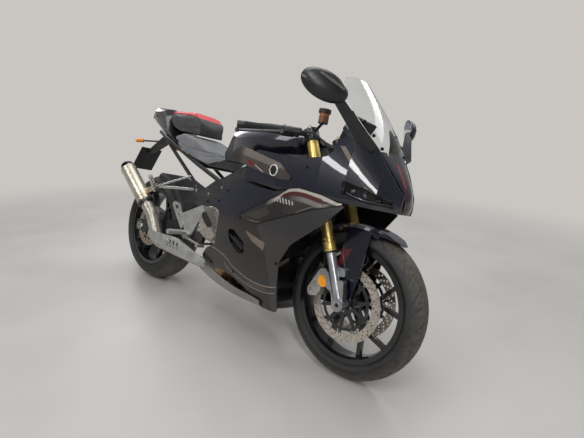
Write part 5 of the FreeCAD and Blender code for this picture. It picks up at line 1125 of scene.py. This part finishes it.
# Glass silvered behind: it shows the room and reads as pale or dark with it.
silvered_glass = finish("silvered_glass", "c9d0d6", "bcc4cb", 0.03, cloud_mm=200, grain_depth=0.0,
                        Metallic=1.0)
MIRROR_SIZE = (88.0, 50.0, 30.0)
STRIP_UPPER = [(0.42, 0.57), (0.22, 0.55), (-0.02, 0.50), (-0.28, 0.44), (-0.54, 0.38), (-0.74, 0.33)]
STRIP_LOWER = [(0.40, 0.36), (0.20, 0.27), (-0.04, 0.20), (-0.30, 0.15), (-0.56, 0.12), (-0.74, 0.12)]
STRIP_STEPS = 20
GLASS_HALF, GLASS_SIDES = (80, 43), 48
GLASS_DEPTHS = (0.0072, 0.0050)


def part_way(points, share):
    """A point at a share of the way along points, counted evenly from one to the next."""
    at = share * (len(points) - 1)
    k = min(int(at), len(points) - 2)
    return Vector(points[k]).lerp(Vector(points[k + 1]), at - k)


def on_mirror(centre, ways, spot, lift):
    """A place on a shell's front, from shares of its half width and half height, lifted by mm."""
    u, v = spot
    shares = (u, v, math.sqrt(max(0.0, 1 - u * u - v * v)))
    place = sum((way * share * half for way, share, half in zip(ways, shares, MIRROR_SIZE)), Vector())
    return centre + (place + place.normalized() * lift) / 1000


rim_shape, strip_shape, glass_shape = (bmesh.new() for _ in range(3))
for side in (LEFT, RIGHT):
    centre = on_bike(1336, side * 336, 1058)
    outwards = Vector((-0.596, 0.763, 0.250)).normalized()
    onwards = outwards.cross(Vector((-0.24, 0.14, 0.96))).normalized()
    upwards = onwards.cross(outwards)
    ways = [way_on_bike(way.x, way.y * side, way.z) for way in (outwards, upwards, onwards)]
    outwards, upwards, onwards = ways
    top, low = ([part_way(line, i / STRIP_STEPS) for i in range(STRIP_STEPS + 1)]
                for line in (STRIP_UPPER, STRIP_LOWER))
    rows = []
    for upper, lower in zip(top, low):
        across = [upper.lerp(lower, j / 4) for j in range(5)]
        raised = [on_mirror(centre, ways, spot, 1.1 - abs(j - 2) * 0.3) for j, spot in enumerate(across)]
        sunk = [on_mirror(centre, ways, spot, -2.0) for spot in reversed(across)]
        rows.append([strip_shape.verts.new(place) for place in raised + sunk])
    join_rings(strip_shape, rows)
    border = [on_mirror(centre, ways, spot, 0.2) for spot in top + low[::-1] + top[:1]]
    wind_round(rim_shape, border, 1.6, 6)
    outline = [centre + (outwards * math.cos(turn) * GLASS_HALF[0]
                         + upwards * math.sin(turn) * GLASS_HALF[1]) / 1000
               for turn in even_turns(GLASS_SIDES)]
    join_rings(glass_shape, [[glass_shape.verts.new(place - onwards * depth) for place in outline]
                             for depth in GLASS_DEPTHS])
make_piece("mirror_strip_rims", rim_shape, moulded_nylon, "chassis")
make_piece("mirror_strips", strip_shape, strip_polycarbonate, "chassis")
make_piece("mirror_glasses", glass_shape, silvered_glass, "chassis")

# The display: dark glass over a black bezel, with a plain ring of pale ticks.
dark_glass = finish("dark_glass", "0c0e12", "07090c", 0.06, cloud_mm=60, grain_depth=0.0, Coat_Weight=1.0,
                    Coat_Roughness=0.03)
tick_print = finish("tick_print", "d8d8d2", "c4c4be", 0.5, cloud_mm=10, grain_mm=0.6, grain_depth=0.01)
face_middle = on_bike(1281, 0, 998)
face_up = way_on_bike(38, 0, 60)
face_out = way_on_bike(-60, 0, 38)
shape = bmesh.new()
corners = []
for cx, cz, start in ((66, 24, 0), (-66, 24, 90), (-66, -24, 180), (66, -24, 270)):
    for i in range(7):
        turn = math.radians(start + 15 * i)
        corners.append((cx + 8 * math.cos(turn), cz + 8 * math.sin(turn)))
rings = []
for lift, shrink in ((-2.0, 0), (0.8, 0), (1.6, 1.2)):
    rings.append([shape.verts.new(face_middle + (leftward * (cy - math.copysign(shrink, cy))
                                                 + face_up * (cz - math.copysign(shrink, cz))
                                                 + face_out * lift) / 1000) for cy, cz in corners])
join_rings(shape, rings)
make_piece("display_glass", shape, dark_glass, "chassis")
shape = bmesh.new()
for i in range(25):
    turn = math.radians(-120 + 10 * i)
    way = leftward * -math.sin(turn) + face_up * math.cos(turn)
    inner, outer = (20, 25) if i % 2 == 0 else (22, 25)
    line = [face_middle + (way * r + face_out * 1.7) / 1000 for r in (inner, outer)]
    wind_round(shape, line, 0.7, 6)
make_piece("display_ticks", shape, tick_print, "chassis")

# The fuel cap: a ring and lid turned from blasted aluminium on the tank's crown, with a ring of
# black screws and a lock in the middle.
tank_skin = skin_of(cad["tank"])
place, facing = seat(tank_skin, on_bike(930, 0, 1200), -upward)
shape = bmesh.new()
turn_form(shape, place, facing, [(-4, 54), (1.0, 54), (2.4, 52), (2.4, 40), (1.4, 39), (1.4, 36), (3.6, 35),
                                 (4.2, 33), (4.2, 0)], 64)
make_piece("fuel_cap", shape, blasted_aluminium, "chassis")
shape = bmesh.new()
side = facing.orthogonal().normalized()
CAP_SCREWS, CAP_SCREWS_R = 7, 0.0465
for turn in even_turns(CAP_SCREWS):
    out = Matrix.Rotation(turn, 3, facing) @ side
    add_screw(shape, place + out * CAP_SCREWS_R + facing * 0.0022, facing, 4.0)
lock = [(0, 9), (1.4, 9), (2.0, 8), (2.0, 3), (0.8, 2.6), (0.8, 0)]
turn_form(shape, place + facing * 0.004, facing, lock)
make_piece("fuel_cap_screws", shape, black_zinc, "chassis")

# The tail: gloss black mouldings over the rear frame, a red lamp at the tip, amber indicators on
# the plate hanger with its bare board, and polished stays for the passenger's rests.
gloss_black_abs = finish("gloss_black_abs", "18181a", "111113", 0.3, cloud_mm=80, grain_mm=1.5,
                         grain_depth=0.008, Coat_Weight=0.3, Coat_Roughness=0.12)
paint_over(gloss_black_abs, ("4b3c35", {"along": (-400, -214, 16)}))
dress(gloss_black_abs, "tail")
red_acrylic = finish("red_acrylic", "a31713", "7c0f0d", 0.12, cloud_mm=10, Coat_Weight=0.8,
                     Coat_Roughness=0.04)
dress(red_acrylic, "tail_lamp")
amber_tipped_nylon = finish("amber_tipped_nylon", "1e1e1f", "131314", 0.55, cloud_mm=30, grain_mm=0.9,
                            grain_depth=0.05)
paint_over(amber_tipped_nylon, ("d9820f", {"out": (122, 200)}))
dress(amber_tipped_nylon, "plate_hanger")
polished_aluminium = finish("polished_aluminium", "c4c4c1", "acaca8", 0.26, cloud_mm=30, grain_mm=1.0,
                            grain_depth=0.02, Metallic=0.85)
dress(polished_aluminium, "passenger_rests")
shape = bmesh.new()
screw_down(shape, skin_of(cad["tail"]), [(-180, 990, 5.0), (0, 920, 5.0), (190, 822, 5.0)])
make_piece("tail_screws", shape, black_zinc, "chassis")

# The rider's rests: grip rings of blasted aluminium, turned on both pegs.
PEG_RINGS, PEG_RING_START, PEG_RING_STEP = 14, 30, 6.4
shape = bmesh.new()
for side in (LEFT, RIGHT):
    foot = on_bike(484, side * 164, 376)
    way = way_on_bike(8, side * 122, 4)
    for i in range(PEG_RINGS):
        start = PEG_RING_START + i * PEG_RING_STEP
        turn_form(shape, foot, way, [(start, 11.5), (start, 13.0), (start + 1.2, 13.4), (start + 3, 13.0),
                                     (start + 3, 11.5), (start, 11.5)], 20)
make_piece("peg_rings", shape, blasted_aluminium, "chassis")

# The seats: foam pads under vinyl, stretched over a base and sewn. The rider's is grey and grained,
# the passenger's charcoal with a red top. The foam swells the cover between the seams.
VOXEL = 0.005
ROUNDING = 8
SHRINK = 0.0035
FOAM_PRESSURE = 4.0
SWELL_CAP = 0.006
CLOTH_FRAMES = 20


def foam_pad(node, name):
    """A soft copy of a seat's block: evenly meshed, rounded and swollen by its foam."""
    work = bpy.data.objects.new(name, cad[node].data.copy())
    bpy.context.scene.collection.objects.link(work)
    even = work.modifiers.new("even", "REMESH")
    even.mode = "VOXEL"
    even.voxel_size = VOXEL
    soften = work.modifiers.new("soften", "SMOOTH")
    soften.factor = 0.5
    soften.iterations = ROUNDING
    graph = bpy.context.evaluated_depsgraph_get()
    mesh = bpy.data.meshes.new_from_object(work.evaluated_get(graph))
    work.modifiers.clear()
    work.data = mesh
    facings = [v.normal.copy() for v in mesh.vertices]
    for vertex, facing in zip(mesh.vertices, facings):
        vertex.co -= facing * SHRINK
    start = [v.co.copy() for v in mesh.vertices]
    held = work.vertex_groups.new(name="base")
    held.add([i for i, facing in enumerate(facings) if facing.dot(upward) < -0.3], 1.0, "REPLACE")
    puff = work.modifiers.new("puff", "CLOTH")
    puff.settings.use_pressure = True
    puff.settings.uniform_pressure_force = FOAM_PRESSURE
    puff.settings.vertex_group_mass = "base"
    puff.settings.effector_weights.gravity = 0.0
    puff.point_cache.frame_end = CLOTH_FRAMES
    for step in range(1, CLOTH_FRAMES + 1):
        bpy.context.scene.frame_set(step)
    graph = bpy.context.evaluated_depsgraph_get()
    swollen = bpy.data.meshes.new_from_object(work.evaluated_get(graph))
    for vertex, from_place in zip(swollen.vertices, start):
        moved = vertex.co - from_place
        if moved.length > SWELL_CAP:
            vertex.co = from_place + moved.normalized() * SWELL_CAP
    work.modifiers.clear()
    work.data = swollen
    bpy.context.scene.frame_set(1)
    return work


def height_at(points, x):
    """The height of a line through points (x, z), straight between them."""
    for (x0, z0), (x1, z1) in zip(points, points[1:]):
        if x <= x1:
            return z0 + (z1 - z0) * max(0.0, x - x0) / (x1 - x0)
    return points[-1][1]


def sew(pad, seams, half_width, depth_mm):
    """Draws the cover in along each seam: a line (x, z) seen from the side, or (x, y) from above."""
    mesh = pad.data
    facings = [v.normal.copy() for v in mesh.vertices]
    for vertex, facing in zip(mesh.vertices, facings):
        place = from_bike(vertex.co)
        cut = 0.0
        for line, seen_from in seams:
            if not line[0][0] - 4 < place.x < line[-1][0] + 4:
                continue
            if seen_from == "side":
                off = place.z - height_at(line, place.x)
                if abs(facing.dot(leftward)) < 0.25:
                    continue
            else:
                off = abs(place.y) - height_at(line, place.x)
                if facing.dot(upward) < 0.35:
                    continue
            cut = max(cut, depth_mm * max(0.0, 1 - (off / half_width) ** 2) ** 2)
        vertex.co -= facing * (cut / 1000)


def cover(pad, surface):
    """Finishes a pad: one round of subdivision, smooth shading, its vinyl and its frame calls."""
    finer = pad.modifiers.new("finer", "SUBSURF")
    finer.levels = finer.render_levels = 1
    pad.data.shade_smooth()
    pad.data.materials.clear()
    pad.data.materials.append(surface)
    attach(pad, "chassis")


def grained_vinyl(name, light, dark):
    """Vinyl pressed with a leather grain: small rounded cells with fine valleys between them."""
    surface = finish(name, light, dark, 0.5, cloud_mm=70, grain_mm=0.9, grain_depth=0.05)
    place = add(surface, "TexCoord", out="Object")
    cells = add(surface, "TexVoronoi", {"Vector": place, "Scale": 1000 / 2.6}, feature="DISTANCE_TO_EDGE")
    raise_over(surface, between(surface, cells, 0.04, 2.0, 0.12), 0.25)
    surface.node_tree.nodes["Principled BSDF"].inputs["Sheen Weight"].default_value = 0.15
    return surface


grey_vinyl = grained_vinyl("grey_vinyl", "6d6e71", "5f6063")
charcoal_vinyl = grained_vinyl("charcoal_vinyl", "2a2b2e", "202124")
RED_EDGE = [(-6, 984), (28, 1006), (150, 1000), (280, 990), (335, 950)]
above_edge = above_line(charcoal_vinyl, RED_EDGE)
paint_over(charcoal_vinyl, ("c9383c", {}, between(charcoal_vinyl, above_edge, 0, 200)))
FLANK_SEAM = [(150, 846), (200, 836), (256, 818), (343, 806), (434, 800), (520, 800)]
CROWN_SEAM = [(140, 62), (200, 84), (270, 92), (360, 84), (450, 58), (540, 34)]
REAR_SEAM = [(20, 944), (120, 928), (240, 922), (330, 926)]
seats = (("rider", grey_vinyl, "grey_vinyl", [(FLANK_SEAM, "side"), (CROWN_SEAM, "above")], 7.0, 2.6),
         ("pillion", charcoal_vinyl, "black_vinyl", [(RED_EDGE, "side"), (REAR_SEAM, "side")], 6.0, 2.4))
pads = {}
for name, vinyl, slot, seams, half_width, depth in seats:
    dress(vinyl, name + "_seat")
    pads[name] = foam_pad(name + "_seat", name + "_pad")
    sew(pads[name], seams, half_width, depth)
    cover(pads[name], vinyl)
    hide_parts(name + "_seat")

# The seams' thread, in pale polyester, and the black welt piped round the rider's seat.
seam_thread = finish("seam_thread", "7e7f80", "6c6d6e", 0.7, cloud_mm=6, grain_mm=0.6, grain_depth=0.04)
black_welt = finish("black_welt", "202022", "161617", 0.5, cloud_mm=20, grain_mm=1.2, grain_depth=0.05)
STITCH, GAP = 4.6, 2.4


def pad_skin(pad):
    """The tree of a pad's finished faces."""
    whole = bpy.data.meshes.new_from_object(pad.evaluated_get(bpy.context.evaluated_depsgraph_get()))
    carried = bmesh.new()
    carried.from_mesh(whole)
    tree = BVHTree.FromBMesh(carried)
    carried.free()
    bpy.data.meshes.remove(whole)
    return tree


rider_skin, pillion_skin = pad_skin(pads["rider"]), pad_skin(pads["pillion"])
rider_thread, pillion_thread, welt_shape = bmesh.new(), bmesh.new(), bmesh.new()


def stitch_row(shape, skin, side, line, lift, x_low, x_high):
    """A row of stitches beside a seam on a pad's flank."""
    x = x_low
    while x < x_high:
        ends = []
        for at in (x, x + STITCH):
            start = on_bike(at, side * SIDE_REACH, height_at(line, at) + lift)
            place, facing, _, _ = skin.ray_cast(start, leftward * -side)
            if place is not None:
                ends.append(place + facing * 0.0002)
        if len(ends) == 2 and (ends[1] - ends[0]).length < 0.009:
            wind_round(shape, ends, 0.55, 5)
        x += STITCH + GAP


WELT_LINE = [(140, 822), (200, 807), (260, 792), (320, 777), (380, 762), (430, 750), (470, 741),
             (500, 748), (530, 762)]
for side in (LEFT, RIGHT):
    stitch_row(rider_thread, rider_skin, side, FLANK_SEAM, 6.5, 170, 505)
    stitch_row(pillion_thread, pillion_skin, side, RED_EDGE, -6.5, 30, 300)
    welt = []
    for x, z in WELT_LINE:
        place, facing, _, _ = rider_skin.ray_cast(on_bike(x, side * SIDE_REACH, z), leftward * -side)
        if place is not None:
            welt.append(place + facing * 0.0006)
    wind_round(welt_shape, welt, 3.0, 8)
make_piece("rider_stitches", rider_thread, seam_thread, "chassis")
make_piece("pillion_stitches", pillion_thread, seam_thread, "chassis")
make_piece("rider_welt", welt_shape, black_welt, "chassis")
